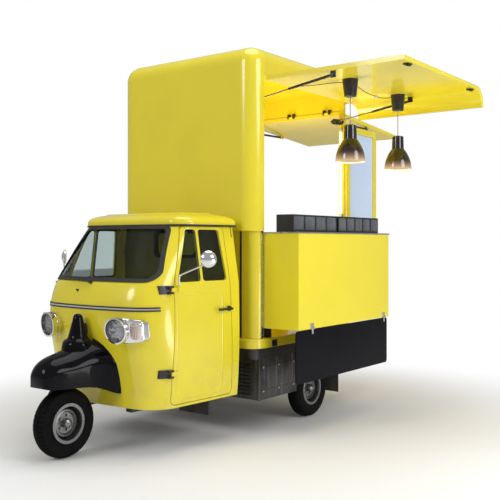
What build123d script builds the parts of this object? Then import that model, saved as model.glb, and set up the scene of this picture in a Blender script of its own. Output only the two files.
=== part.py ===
# Three-wheel electric food van with a serving awning, a slide-out counter and a rear flap.
# Frame: origin on the ground under the front wheel, front towards -Y, serving side +X, up +Z.
# Millimetres throughout.

import os
from math import atan2, cos, degrees, hypot, radians, sin, tan

from build123d import *

os.makedirs("parts", exist_ok=True)

# Driving dimensions of the running gear
TYRE_OD = 500
TYRE_W = 120
TYRE_FLAT = 1.5
WHEELBASE = 2200
TRACK_HALF = 650
STEER_RAKE = 20

# Driving dimensions of the cab
CAB_Z0 = 340
CAB_Z1 = 1690
CAB_Y1 = 1200
CAB_FRONT = 200
CAB_HALF = 660
CAB_SKIN = 22
BELT_Z = 1235

# Driving dimensions of the box body
BOX_HALF = 754
BOX_Y0 = 1280
BOX_Y1 = 2955
BOX_Z0 = 1635
BOX_Z1 = 3125
BOX_R = 140
WALL = 24
PLINTH_Z0 = 690
PLINTH_Z1 = 766
COUNTER_Z1 = 1625
COUNTER_OUT = 1070
AWNING_REACH = 1230
FLAP_REACH = 1220
FLAP_DROOP = 5

# Clearances
SEAT = 0.3
RUN = 0.06
GAP = 5

# Worked out from the driving dimensions
TYRE_R = TYRE_OD / 2
AXLE_Z = TYRE_R - TYRE_FLAT
RIM_R = TYRE_R * 0.56
JAMB_Y = BOX_Y0 + 132
POST_Y = BOX_Y1 - 70
WRAP_R = 155
WRAP_TAIL = 15
LEAF = 35
HINGE_R = 10
AWNING_X = BOX_HALF - 4
AWNING_Z = COUNTER_Z1 + AWNING_REACH + 13
SPLIT_Z = AWNING_Z + 16
FLAP_Y = BOX_Y1 - 50
FLAP_Z = AWNING_Z - 68
FLAP_HALF = BOX_HALF + 8 - WRAP_R - WRAP_TAIL - 24
SKIN_OUT = 12
ROOT_GAP = 16


def keep(builder, name):
    """Label a finished sub-part and write it out."""
    builder.part.label = name
    export_step(builder.part, f"parts/{name}.step")


def block(x0, x1, y0, y1, z0, z1, mode=Mode.ADD):
    """A box between two corners, in the open part."""
    with Locations(((x0 + x1) / 2, (y0 + y1) / 2, (z0 + z1) / 2)):
        Box(x1 - x0, y1 - y0, z1 - z0, mode=mode)


def rod_x(x0, x1, y, z, radius, mode=Mode.ADD):
    """A round bar along X, in the open part."""
    with Locations(Location(((x0 + x1) / 2, y, z), (0, 90, 0))):
        Cylinder(radius, x1 - x0, mode=mode)


def rod_y(y0, y1, x, z, radius, mode=Mode.ADD):
    """A round bar along Y, in the open part."""
    with Locations(Location((x, (y0 + y1) / 2, z), (90, 0, 0))):
        Cylinder(radius, y1 - y0, mode=mode)


def rod_z(z0, z1, x, y, radius, mode=Mode.ADD):
    """A round bar along Z, in the open part."""
    with Locations((x, y, (z0 + z1) / 2)):
        Cylinder(radius, z1 - z0, mode=mode)


# Cab form: stacked plan sections, smooth to the belt line and straight above it
CAB_LEVELS = (
    (CAB_Z0, CAB_FRONT + 90, 60, CAB_HALF - 70, CAB_HALF - 20, 240),
    (CAB_Z0 + 310, CAB_FRONT + 55, 68, CAB_HALF - 56, CAB_HALF, 270),
    (BELT_Z - 170, CAB_FRONT, 80, CAB_HALF - 56, CAB_HALF, 290),
    (BELT_Z, CAB_FRONT + 50, 80, CAB_HALF - 75, CAB_HALF - 5, 280),
)
CAB_TOP = (CAB_Z1, CAB_FRONT + 430, 44, CAB_HALF - 117, CAB_HALF - 75, 150)


def cab_section(level, inset, drop=0):
    """One plan section of the cab, moved in by an inset."""
    z, front, bow, half_front, half_rear, corner = level
    with BuildSketch(Plane.XY.offset(z - drop)) as section:
        with BuildLine():
            nose = (half_front - inset, front + bow + inset)
            tail = (half_rear - inset, CAB_Y1 - inset)
            ThreePointArc((-nose[0], nose[1]), (0, front + inset), nose)
            Polyline(nose, tail, (-tail[0], tail[1]), (-nose[0], nose[1]))
        make_face()
        fillet(section.vertices().group_by(Axis.Y)[0], corner - inset)
    return section.sketch.faces()[0]


def cab_body(inset):
    """The cab as a full solid, moved in by an inset."""
    with BuildPart() as body:
        loft(sections=[cab_section(level, inset) for level in CAB_LEVELS])
        loft(sections=[cab_section(CAB_LEVELS[-1], inset), cab_section(CAB_TOP, inset)], ruled=True)
    return body.part


def cab_skin(outer, inner):
    """The cab's skin between two insets."""
    with BuildPart() as skin:
        add(cab_body(outer))
        add(cab_body(inner), mode=Mode.SUBTRACT)
    return skin.part


def front_prism(points, radius, reach):
    """An outline seen from the front, run back along Y."""
    with BuildPart() as prism:
        with BuildSketch(Plane.XZ) as outline:
            with BuildLine():
                Polyline(*points, close=True)
            make_face()
            fillet(outline.vertices(), radius)
        extrude(amount=-reach)
    return prism.part


def side_prism(points, radius, near=300, far=1000):
    """An outline seen from the serving side, run across along X."""
    with BuildPart() as prism:
        with BuildSketch(Plane.YZ.offset(near)) as outline:
            with BuildLine():
                Polyline(*points, close=True)
            make_face()
            fillet(outline.vertices(), radius)
        extrude(amount=far - near)
    return prism.part


def grown(points, by):
    """An outline's points moved away from its middle, along each axis."""
    mid_a = sum(p[0] for p in points) / len(points)
    mid_b = sum(p[1] for p in points) / len(points)
    return [(a + by * (1 if a > mid_a else -1), b + by * (1 if b > mid_b else -1)) for a, b in points]


# Outlines of the cab's openings
SCREEN = [(-536, BELT_Z + 45), (536, BELT_Z + 45), (430, CAB_Z1 - 44), (-430, CAB_Z1 - 44)]
SEAL_W = 26
DOOR_FRONT = 485
DOOR_REAR = CAB_Y1 - 50
DOOR_Z0 = CAB_Z0 + 24
DOOR_Z1 = CAB_Z1 - 28
DOOR = [
    (DOOR_FRONT, DOOR_Z0),
    (DOOR_REAR - 25, DOOR_Z0),
    (DOOR_REAR - 65, DOOR_Z1),
    (DOOR_FRONT + 190, DOOR_Z1),
    (DOOR_FRONT + 20, BELT_Z - 20),
]
BAR_Y = 800
WINDOW_Z0 = BELT_Z + 15
WINDOW_Z1 = DOOR_Z1 - 22
BAR_HALF = 12
QUARTER = [
    (DOOR_FRONT + 62, WINDOW_Z0),
    (BAR_Y - BAR_HALF, WINDOW_Z0),
    (BAR_Y - BAR_HALF, WINDOW_Z1),
    (DOOR_FRONT + 212, WINDOW_Z1),
]
SLIDER = [
    (BAR_Y + BAR_HALF, WINDOW_Z0),
    (DOOR_REAR - 80, WINDOW_Z0),
    (DOOR_REAR - 116, WINDOW_Z1),
    (BAR_Y + BAR_HALF, WINDOW_Z1),
]
HANDLE_Y = DOOR_REAR - 75
HANDLE_Z = BELT_Z - 205
HANDLE_X = CAB_HALF - 8
MIRROR_Y = DOOR_FRONT + 45
MIRROR_Z = BELT_Z - 8
MIRROR_X = CAB_HALF - 28
HINGE_Y = DOOR_FRONT - 14
HINGE_X = CAB_HALF - 38
HINGE_ZS = (BELT_Z - 640, BELT_Z - 35)
REAR_PANE = (440, 180)
REAR_PANE_Z = 1528

SKIN = cab_skin(0, CAB_SKIN)
SOLID = cab_body(0)

# Steering axis
STEER = Plane(
    origin=(0, 20, 400),
    x_dir=(1, 0, 0),
    z_dir=(0, sin(radians(STEER_RAKE)), cos(radians(STEER_RAKE))),
)
COLUMN_R = 20


def steer_at(z):
    """Distance along the steering axis at a height."""
    return (z - STEER.origin.Z) / cos(radians(STEER_RAKE))


def along_steer(z0, z1, radius, mode=Mode.ADD):
    """A round bar on the steering axis between two heights, in the open part."""
    s0, s1 = steer_at(z0), steer_at(z1)
    with Locations(STEER.offset((s0 + s1) / 2)):
        Cylinder(radius, s1 - s0, mode=mode)


# Wiper's plane, along the screen at its foot
SCREEN_LEAN = atan2(CAB_TOP[1] - CAB_LEVELS[-1][1], CAB_Z1 - BELT_Z)
WIPER_Z = BELT_Z + 6
WIPER_Y = CAB_FRONT + 50 + 6 * tan(SCREEN_LEAN)
WIPER = Plane(
    (0, WIPER_Y, WIPER_Z),
    x_dir=(1, 0, 0),
    z_dir=(0, -cos(SCREEN_LEAN), sin(SCREEN_LEAN)),
)
WIPER_BORE = 10

# Cab shell with its openings, the steering head and the door's shut gap
WHEEL_GAP = 6
with BuildPart() as steering_head:
    along_steer(900, 1120, 44)
    add(SOLID, mode=Mode.INTERSECT)

with BuildPart() as cab_shell:
    add(SKIN)
    add(steering_head.part)
    add(front_prism(grown(SCREEN, SEAL_W), 70, 850), mode=Mode.SUBTRACT)
    add(side_prism(grown(DOOR, GAP), 40), mode=Mode.SUBTRACT)
    add(side_prism(grown(DOOR, GAP), 40).mirror(Plane.YZ), mode=Mode.SUBTRACT)
    with BuildSketch(Plane.XZ.offset(-CAB_Y1 + 60)):
        with Locations((0, REAR_PANE_Z)):
            RectangleRounded(REAR_PANE[0] + 2 * SEAL_W, REAR_PANE[1] + 2 * SEAL_W, 60)
    extrude(amount=-200, mode=Mode.SUBTRACT)
    along_steer(700, 1300, COLUMN_R + RUN, mode=Mode.SUBTRACT)
    with Locations(WIPER):
        Cylinder(WIPER_BORE + RUN, 120, mode=Mode.SUBTRACT)
    for z in HINGE_ZS:
        for side in (-1, 1):
            a, b = sorted((side * (HINGE_X - 32), side * (HINGE_X + 16)))
            block(a, b, HINGE_Y - 13, HINGE_Y + 40, z - 14.5, z + 14.5, mode=Mode.SUBTRACT)
    with Locations(Location((0, 0, AXLE_Z), (0, 90, 0))):
        Cylinder(TYRE_R + WHEEL_GAP, TYRE_W + 2 * WHEEL_GAP, mode=Mode.SUBTRACT)
keep(cab_shell, "cab_shell")

# Cab roof: a domed cap that overhangs the doors
with BuildPart() as cab_roof:
    loft(
        sections=[
            cab_section((CAB_TOP[0] - 12, *CAB_TOP[1:]), -18),
            cab_section((CAB_TOP[0] + 16, *CAB_TOP[1:]), -18),
            cab_section((CAB_TOP[0] + 58, *CAB_TOP[1:]), 40),
            cab_section((CAB_TOP[0] + 82, *CAB_TOP[1:]), 130),
        ]
    )
    add(cab_body(-1), mode=Mode.SUBTRACT)
    loft(
        sections=[
            cab_section((CAB_TOP[0] - 30, *CAB_TOP[1:]), 40),
            cab_section((CAB_TOP[0] + 40, *CAB_TOP[1:]), 60),
            cab_section((CAB_TOP[0] + 62, *CAB_TOP[1:]), 140),
        ],
        mode=Mode.SUBTRACT,
    )
    add(cab_body(0), mode=Mode.SUBTRACT)
keep(cab_roof, "cab_roof")

# Window glass and rubber
with BuildPart() as panes:
    add(front_prism(SCREEN, 55, 850))
    with BuildSketch(Plane.XZ.offset(-CAB_Y1 + 60)):
        with Locations((0, REAR_PANE_Z)):
            RectangleRounded(REAR_PANE[0], REAR_PANE[1], 45)
    extrude(amount=-200)

with BuildPart() as cab_glass:
    add(cab_skin(7, 12))
    add(panes.part, mode=Mode.INTERSECT)
keep(cab_glass, "cab_glass")

with BuildPart() as rings:
    add(front_prism(grown(SCREEN, SEAL_W), 70, 850))
    add(front_prism(SCREEN, 55, 850), mode=Mode.SUBTRACT)
    with BuildSketch(Plane.XZ.offset(-CAB_Y1 + 60)):
        with Locations((0, REAR_PANE_Z)):
            RectangleRounded(REAR_PANE[0] + 2 * SEAL_W, REAR_PANE[1] + 2 * SEAL_W, 60)
            RectangleRounded(REAR_PANE[0], REAR_PANE[1], 45, mode=Mode.SUBTRACT)
    extrude(amount=-200)

with BuildPart() as gutter:
    loft(sections=[cab_section(CAB_TOP, -24, 12), cab_section(CAB_TOP, -24, 26)], ruled=True)
    add(SOLID, mode=Mode.SUBTRACT)

# Window rubbers, and the black gutter under the roof edge
with BuildPart() as cab_rubbers:
    add(cab_skin(-6, CAB_SKIN + 4))
    add(rings.part, mode=Mode.INTERSECT)
    add(gutter.part)
keep(cab_rubbers, "cab_rubbers")

# Bright strip round the front
TRIM_Z = BELT_Z - 170
with BuildPart() as band:
    block(-800, 800, 0, HINGE_Y - 90, TRIM_Z - 15, TRIM_Z + 15)

with BuildPart() as front_trim:
    add(cab_skin(-6, 0))
    add(band.part, mode=Mode.INTERSECT)
keep(front_trim, "front_trim")

# Headlamps: pods that stand off the cab's front and follow its curve
LAMP_X = 372
LAMP_Z = BELT_Z - 319
LAMP_R = 94
LENS_R = 80
LAMP_PROUD = 78
POD_X1 = LAMP_X + 168
POD_H = 72


def lamp_outline(radius, x0, x1, half_height, corner):
    """A round lamp with a squarer lamp beside it, run back along Y."""
    with BuildPart() as outline:
        with BuildSketch(Plane.XZ):
            if radius:
                with Locations((LAMP_X, LAMP_Z)):
                    Circle(radius)
            if x1:
                with Locations(((x0 + x1) / 2, LAMP_Z)):
                    RectangleRounded(x1 - x0, 2 * half_height, corner)
        extrude(amount=-620)
    return outline.part


POD_PROUD = 54
FACE = cab_skin(-LAMP_PROUD, -LAMP_PROUD + 26)
SIDE_FACE = cab_skin(-POD_PROUD, -POD_PROUD + 20)
with BuildPart() as lamp_side:
    add(cab_skin(-POD_PROUD, 0))
    add(lamp_outline(0, LAMP_X, POD_X1, POD_H, 40), mode=Mode.INTERSECT)

with BuildPart() as round_lens:
    add(FACE)
    add(lamp_outline(LENS_R, 0, 0, 0, 0), mode=Mode.INTERSECT)

with BuildPart() as side_lens:
    add(SIDE_FACE)
    add(lamp_outline(0, LAMP_X + 98, POD_X1 - 12, POD_H - 14, 26), mode=Mode.INTERSECT)

with BuildPart() as lens_well:
    add(cab_skin(-LAMP_PROUD - 7, -LAMP_PROUD + 26))
    add(lamp_outline(LENS_R, 0, 0, 0, 0), mode=Mode.INTERSECT)

with BuildPart() as headlamp_bodies:
    add(cab_skin(-LAMP_PROUD - 6, 0))
    add(lamp_outline(LAMP_R, 0, 0, 0, 0), mode=Mode.INTERSECT)
    add(lamp_side.part)
    add(lens_well.part, mode=Mode.SUBTRACT)
    add(side_lens.part, mode=Mode.SUBTRACT)
    mirror(about=Plane.YZ)
keep(headlamp_bodies, "headlamp_bodies")

with BuildPart() as headlamp_lenses:
    add(round_lens.part)
    add(side_lens.part)
    mirror(about=Plane.YZ)
keep(headlamp_lenses, "headlamp_lenses")

# Front mudguard: a domed fender that flares onto the cab, with a stepped nose above
FENDER = (
    (-TYRE_R + 12, 66, 640, 530),
    (-TYRE_R + 42, 104, 690, 522),
    (-TYRE_R + 150, 142, 742, 516),
    (20, 164, 772, 512),
    (130, 190, 815, 500),
    (230, 242, 850, 462),
    (330, 268, 860, 450),
)
NOSE_Y = 128
DOME_R = 35
DOME_Z = 985 + (DOME_R**2 - 34**2) ** 0.5


def fender_section(station, inset):
    """An arch of the fender at one place along Y."""
    y, half, top, low = station
    half = half - inset
    top = top - inset
    low = low - 40 * (inset > 0)
    with BuildSketch(Plane.XZ.offset(-y)) as arch:
        with BuildLine():
            Polyline((-half, top - 0.75 * half), (-half, low), (half, low), (half, top - 0.75 * half))
            ThreePointArc((half, top - 0.75 * half), (0, top), (-half, top - 0.75 * half))
        make_face()
    return arch.sketch.faces()[0]


with BuildPart() as fender_outer:
    loft(sections=[fender_section(station, 0) for station in FENDER])

with BuildPart() as fender_hollow:
    tip, *others = FENDER
    loft(sections=[fender_section(station, 8) for station in [(tip[0] + 8, *tip[1:]), *others]])

with BuildPart() as nose:
    with BuildSketch(Plane.YZ):
        with BuildLine():
            Polyline((NOSE_Y, 700), (NOSE_Y + 112, 700), (NOSE_Y + 108, 820))
            Polyline((NOSE_Y + 108, 820), (NOSE_Y + 96, 834), (NOSE_Y + 66, 840))
            Polyline((NOSE_Y + 66, 840), (NOSE_Y + 58, 880), (NOSE_Y + 34, 985))
            dome = DOME_R * sin(radians(45))
            ThreePointArc((NOSE_Y + 34, 985), (NOSE_Y + dome, DOME_Z + dome), (NOSE_Y, DOME_Z + DOME_R))
            Line((NOSE_Y, DOME_Z + DOME_R), (NOSE_Y, 700))
        make_face()
    revolve(axis=Axis((0, NOSE_Y, 0), (0, 0, 1)))

with BuildPart() as front_mudguard:
    add(fender_outer.part)
    add(nose.part)
    block(-48, 48, NOSE_Y, NOSE_Y + 190, 780, 975)
    add(fender_hollow.part, mode=Mode.SUBTRACT)
    along_steer(560, 1200, COLUMN_R + 6, mode=Mode.SUBTRACT)
    add(SOLID, mode=Mode.SUBTRACT)
keep(front_mudguard, "front_mudguard")

# Cab floor with the seat box, and the bench on it
FLOOR_Z = CAB_Z0 + 20
SEAT_Z = FLOOR_Z + 275
with BuildPart() as cab_floor:
    with BuildSketch(Plane.XY.offset(FLOOR_Z)):
        add(cab_section(CAB_LEVELS[0], CAB_SKIN + SEAT).moved(Location((0, 0, -CAB_Z0))))
    extrude(amount=14)
    block(-520, 520, 860, CAB_Y1 - CAB_SKIN - SEAT - 1, FLOOR_Z + 10, SEAT_Z)
    block(-490, 490, 884, CAB_Y1 - CAB_SKIN - 30, FLOOR_Z + 30, SEAT_Z - 14, mode=Mode.SUBTRACT)
    add(cab_body(CAB_SKIN + SEAT), mode=Mode.INTERSECT)
keep(cab_floor, "cab_floor")

with BuildPart() as bench_cushion:
    block(-500, 500, 830, CAB_Y1 - CAB_SKIN - 60, SEAT_Z, SEAT_Z + 95)
    fillet(bench_cushion.edges().group_by(Axis.Z)[-1], 38)

with BuildPart() as bench_back:
    with BuildSketch(Plane.YZ.offset(-500)) as back:
        with BuildLine():
            Polyline(
                (CAB_Y1 - CAB_SKIN - 120, SEAT_Z + 95),
                (CAB_Y1 - CAB_SKIN - 10, SEAT_Z + 95),
                (CAB_Y1 - CAB_SKIN - 10, SEAT_Z + 520),
                (CAB_Y1 - CAB_SKIN - 70, SEAT_Z + 520),
                close=True,
            )
        make_face()
        fillet(back.vertices(), 24)
    extrude(amount=1000)

with BuildPart() as bench_cushions:
    add(bench_cushion.part)
    add(bench_back.part.moved(Location((0, 0, SEAT))))
keep(bench_cushions, "bench_cushions")

# Doors: cut from the cab's skin, so that they close flush
HANDLE_BORE = 9
with BuildPart() as left_door:
    add(SKIN)
    add(side_prism(DOOR, 36), mode=Mode.INTERSECT)
    add(side_prism(QUARTER, 26), mode=Mode.SUBTRACT)
    add(side_prism(SLIDER, 26), mode=Mode.SUBTRACT)
    rod_x(CAB_HALF - 90, CAB_HALF + 60, HANDLE_Y, HANDLE_Z, HANDLE_BORE + RUN, mode=Mode.SUBTRACT)
    for z in HINGE_ZS:
        block(HINGE_X - 26, HINGE_X + 6, HINGE_Y + 2, HINGE_Y + 62, z - 14, z + 14)
        rod_z(z - 14, z + 14, HINGE_X, HINGE_Y, 11)
        rod_z(z - 20, z + 20, HINGE_X, HINGE_Y, 5 + RUN, mode=Mode.SUBTRACT)
    block(MIRROR_X - 40, MIRROR_X + 4, MIRROR_Y - 12, MIRROR_Y + 12, MIRROR_Z - 34, MIRROR_Z)
    add(cab_body(CAB_SKIN), mode=Mode.SUBTRACT)
    add(cab_shell.part, mode=Mode.SUBTRACT)
    rod_z(MIRROR_Z - 34, MIRROR_Z, MIRROR_X, MIRROR_Y, 13)
    rod_z(MIRROR_Z - 60, MIRROR_Z + 1, MIRROR_X, MIRROR_Y, 7 + RUN, mode=Mode.SUBTRACT)
keep(left_door, "left_door")

with BuildPart() as left_quarter_glass:
    add(cab_skin(8, 13))
    add(side_prism(QUARTER, 26), mode=Mode.INTERSECT)
keep(left_quarter_glass, "left_quarter_glass")

with BuildPart() as left_drop_pane:
    add(cab_skin(CAB_SKIN + SEAT, CAB_SKIN + SEAT + 5))
    add(side_prism(grown(SLIDER, 14), 30), mode=Mode.INTERSECT)
keep(left_drop_pane, "left_drop_pane")

with BuildPart() as left_door_handle:
    rod_x(HANDLE_X - 26, HANDLE_X + 34, HANDLE_Y, HANDLE_Z, HANDLE_BORE)
    rod_x(HANDLE_X + 4, HANDLE_X + 14, HANDLE_Y, HANDLE_Z, 21)
    block(HANDLE_X + 26, HANDLE_X + 40, HANDLE_Y - 150, HANDLE_Y + 13, HANDLE_Z - 9, HANDLE_Z + 9)
    fillet(left_door_handle.edges().filter_by(Axis.X).group_by(Axis.Y)[0], 7)
keep(left_door_handle, "left_door_handle")

MIRROR_HEAD = (CAB_HALF + 140, DOOR_FRONT + 175, BELT_Z + 185)
MIRROR_YAW = 46
with BuildPart() as left_mirror:
    rod_z(MIRROR_Z - 34, MIRROR_Z + 30, MIRROR_X, MIRROR_Y, 7)
    with BuildLine() as stalk:
        FilletPolyline(
            (MIRROR_X, MIRROR_Y, MIRROR_Z),
            (MIRROR_X, MIRROR_Y, MIRROR_Z + 75),
            (MIRROR_HEAD[0] - 8, MIRROR_HEAD[1] - 6, MIRROR_HEAD[2] - 30),
            radius=34,
        )
    with BuildSketch(Plane((MIRROR_X, MIRROR_Y, MIRROR_Z))):
        Circle(6)
    sweep()
    yaw = radians(MIRROR_YAW)
    with BuildSketch(Plane(MIRROR_HEAD, x_dir=(sin(yaw), -cos(yaw), 0), z_dir=(cos(yaw), sin(yaw), 0))):
        with BuildLine():
            dome = (61**2 + 28**2) / (2 * 28)
            Polyline((0, 0), (-16, 0), (-16, 60), (-10, 61))
            ThreePointArc((-10, 61), (18 - dome + (dome**2 - 32**2) ** 0.5, 32), (18, 0))
            Line((18, 0), (0, 0))
        make_face()
    revolve(axis=Axis(MIRROR_HEAD, (sin(yaw), -cos(yaw), 0)))
keep(left_mirror, "left_mirror")

for builder, name in (
    (left_door, "right_door"),
    (left_quarter_glass, "right_quarter_glass"),
    (left_drop_pane, "right_drop_pane"),
    (left_door_handle, "right_door_handle"),
    (left_mirror, "right_mirror"),
):
    with BuildPart() as twin:
        add(builder.part.mirror(Plane.YZ))
    keep(twin, name)

# Wiper, parked low on the screen
with BuildPart(WIPER) as wiper:
    with Locations((0, 0, -8)):
        Cylinder(WIPER_BORE, 64)
    with Locations((0, 0, 21)):
        Cylinder(15, 14)
    with BuildSketch(Plane(WIPER.origin, x_dir=WIPER.x_dir, z_dir=WIPER.z_dir).offset(18)):
        with Locations(Location((-105, 10, 0), (0, 0, -5))):
            SlotOverall(230, 15)
    extrude(amount=7)
    with BuildSketch(Plane(WIPER.origin, x_dir=WIPER.x_dir, z_dir=WIPER.z_dir).offset(13)):
        with Locations(Location((-190, 17, 0), (0, 0, -5))):
            SlotOverall(330, 11)
    extrude(amount=8)
keep(wiper, "wiper")

# Wheels: tyre, and a dished steel rim with its hub and nuts
HUB_R = 40
AXLE_R = 12
NUTS = 5


def ring(profile, centre):
    """A closed outline of (distance out from the axle, place along X), turned about the axle."""
    x, y, z = centre
    with BuildPart() as turned:
        with BuildSketch(Plane((x, y, z), x_dir=(0, 0, 1), z_dir=(0, 1, 0))):
            with BuildLine():
                Polyline(*profile, close=True)
            make_face()
        revolve(axis=Axis((x, y, z), (1, 0, 0)))
    return turned.part


def tyre(name, x, y):
    """A tyre with rounded shoulders, two grooves and a flat where it stands."""
    half = TYRE_W / 2
    bead = RIM_R - 6
    with BuildPart() as rubber:
        with BuildSketch(Plane((x, y, AXLE_Z), x_dir=(0, 0, 1), z_dir=(0, 1, 0))):
            with BuildLine():
                Polyline((bead, -half + 14), (bead + 14, -half + 8))
                ThreePointArc((bead + 14, -half + 8), (TYRE_R * 0.8, -half), (TYRE_R - 16, -half + 9))
                ThreePointArc((TYRE_R - 16, -half + 9), (TYRE_R, 0), (TYRE_R - 16, half - 9))
                ThreePointArc((TYRE_R - 16, half - 9), (TYRE_R * 0.8, half), (bead + 14, half - 8))
                Polyline((bead + 14, half - 8), (bead, half - 14), (bead, -half + 14))
            make_face()
            with Locations((TYRE_R - 3, -TYRE_W / 8), (TYRE_R - 3, TYRE_W / 8)):
                Rectangle(12, 5, mode=Mode.SUBTRACT)
        revolve(axis=Axis((x, y, AXLE_Z), (1, 0, 0)))
        block(x - half, x + half, y - TYRE_R, y + TYRE_R, -20, 0, mode=Mode.SUBTRACT)
    keep(rubber, name)


def rim(name, x, y, out):
    """A steel rim, its dished disc, the hub, the hub cap and the nuts; out is +1 or -1."""
    half = TYRE_W / 2
    bead = RIM_R - 6 - SEAT
    centre = (x, y, AXLE_Z)
    with BuildPart() as wheel:
        add(ring([(bead, -half + 9), (bead, half - 9), (bead - 12, half - 9), (bead - 12, 9 - half)], centre))
        for side in (-1, 1):
            a, b = sorted((side * (half - 9.4), side * (half - 5)))
            add(ring([(bead - 12, a), (bead + 10, a), (bead + 10, b), (bead - 12, b)], centre))
        add(
            ring(
                [
                    (bead - 10, out * 4),
                    (bead - 34, out * 22),
                    (HUB_R + 44, out * 26),
                    (HUB_R + 34, out * 12),
                    (HUB_R - 8, out * 12),
                    (HUB_R - 8, out * 4),
                    (HUB_R + 40, out * 4),
                    (HUB_R + 50, out * 16),
                    (bead - 38, out * 13),
                    (bead - 12, out * -6),
                ],
                centre,
            )
        )
        add(
            ring(
                [
                    (AXLE_R + RUN, -half + 14),
                    (AXLE_R + RUN, half - 14),
                    (HUB_R - 6, half - 14),
                    (HUB_R - 6, -half + 14),
                ],
                centre,
            )
        )
        add(
            ring(
                [
                    (0, out * (half - 14)),
                    (HUB_R - 6, out * (half - 14)),
                    (HUB_R - 10, out * (half - 6)),
                    (12, out * (half + 4)),
                    (0, out * (half + 4)),
                ],
                centre,
            )
        )
        with BuildSketch(Plane((x + out * 16, y, AXLE_Z), x_dir=(0, 1, 0), z_dir=(1, 0, 0))):
            with PolarLocations(HUB_R + 14, NUTS):
                RegularPolygon(11, 6)
        extrude(amount=8, both=True)
    keep(wheel, name)


tyre("front_tyre", 0, 0)
rim("front_rim", 0, 0, 1)
for name, side in (("left", 1), ("right", -1)):
    tyre(f"{name}_tyre", side * TRACK_HALF, WHEELBASE)
    rim(f"{name}_rim", side * TRACK_HALF, WHEELBASE, side)

# Steering: column, crown and one leg beside the wheel, with the handlebar in the cab
CROWN_Z = TYRE_OD + 76
LEG_X = -TYRE_W / 2 - 50
LINK_Y = -108
LINK_Z = AXLE_Z + 52
PIVOT_R = 12
BAR_Z = 1150
BAR_HALF = 220
BAR_BACK = 240


def steer_y(z):
    """The steering axis's place along Y at a height."""
    return STEER.origin.Y + (z - STEER.origin.Z) * tan(radians(STEER_RAKE))


with BuildPart() as steering_column:
    along_steer(CROWN_Z - 10, BAR_Z, COLUMN_R)
    block(LEG_X - 8, COLUMN_R + 8, steer_y(CROWN_Z) - 34, steer_y(CROWN_Z) + 34, CROWN_Z - 30, CROWN_Z + 10)
    with BuildSketch(Plane.YZ.offset(LEG_X - 14)) as leg:
        with BuildLine():
            Polyline(
                (steer_y(CROWN_Z) - 34, CROWN_Z + 10),
                (LINK_Y - 26, LINK_Z + 10),
                (LINK_Y - 20, LINK_Z - 24),
                (LINK_Y + 24, LINK_Z - 22),
                (steer_y(CROWN_Z) + 34, CROWN_Z + 10),
                close=True,
            )
        make_face()
        fillet(leg.vertices().group_by(Axis.Y)[0] + leg.vertices().group_by(Axis.Y)[1], 12)
    extrude(amount=24)
    rod_x(LEG_X - 14, LEG_X + 36, LINK_Y, LINK_Z, PIVOT_R)
    block(-22, 22, steer_y(BAR_Z) - 26, steer_y(BAR_Z) + BAR_BACK, BAR_Z - 16, BAR_Z + 10)
    rod_x(-BAR_HALF, BAR_HALF, steer_y(BAR_Z) + BAR_BACK, BAR_Z, 14)
keep(steering_column, "steering_column")

with BuildPart() as handlebar_grips:
    for side in (-1, 1):
        a, b = sorted((side * (BAR_HALF - 118), side * (BAR_HALF + 6)))
        rod_x(a, b, steer_y(BAR_Z) + BAR_BACK, BAR_Z, 20)
    fillet(handlebar_grips.edges().filter_by(GeomType.CIRCLE), 5)
    rod_x(-BAR_HALF, BAR_HALF, steer_y(BAR_Z) + BAR_BACK, BAR_Z, 14, mode=Mode.SUBTRACT)
keep(handlebar_grips, "handlebar_grips")

LINK_X0 = LEG_X + 12
LINK_X1 = LINK_X0 + 16
with BuildPart() as front_link:
    with BuildSketch(Plane.YZ.offset(LINK_X0)):
        lean = degrees(atan2(AXLE_Z - LINK_Z, -LINK_Y))
        with Locations(Location((LINK_Y / 2, (LINK_Z + AXLE_Z) / 2, 0), (0, 0, lean))):
            SlotCenterToCenter(hypot(LINK_Y, LINK_Z - AXLE_Z), 56)
    extrude(amount=LINK_X1 - LINK_X0)
    rod_x(LINK_X0 - 1, LINK_X1 + 1, LINK_Y, LINK_Z, PIVOT_R + RUN, mode=Mode.SUBTRACT)
    rod_x(LINK_X0, TYRE_W / 2 - 16, 0, AXLE_Z, AXLE_R)
    rod_x(LINK_X1 - 1, -TYRE_W / 2 + 12, 0, AXLE_Z, 62)
keep(front_link, "front_link")

# Rear trailing arms with their stub axles
ARM_Y = WHEELBASE - 205
ARM_Z = AXLE_Z + 170
ARM_X0 = TRACK_HALF - TYRE_W / 2 - 62
ARM_X1 = ARM_X0 + 40
with BuildPart() as left_arm:
    with BuildSketch(Plane.YZ.offset(ARM_X0)):
        span = hypot(WHEELBASE - ARM_Y, ARM_Z - AXLE_Z)
        tilt = degrees(atan2(AXLE_Z - ARM_Z, WHEELBASE - ARM_Y))
        with Locations(Location(((ARM_Y + WHEELBASE) / 2, (ARM_Z + AXLE_Z) / 2, 0), (0, 0, tilt))):
            SlotCenterToCenter(span, 76)
    extrude(amount=ARM_X1 - ARM_X0)
    rod_x(ARM_X0 - 1, ARM_X1 + 1, ARM_Y, ARM_Z, 16 + RUN, mode=Mode.SUBTRACT)
    rod_x(ARM_X0, TRACK_HALF + TYRE_W / 2 - 16, WHEELBASE, AXLE_Z, AXLE_R)
    rod_x(ARM_X1 - 1, TRACK_HALF - TYRE_W / 2 + 12, WHEELBASE, AXLE_Z, 70)
keep(left_arm, "left_arm")
with BuildPart() as right_arm:
    add(left_arm.part.mirror(Plane.YZ))
keep(right_arm, "right_arm")

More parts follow.
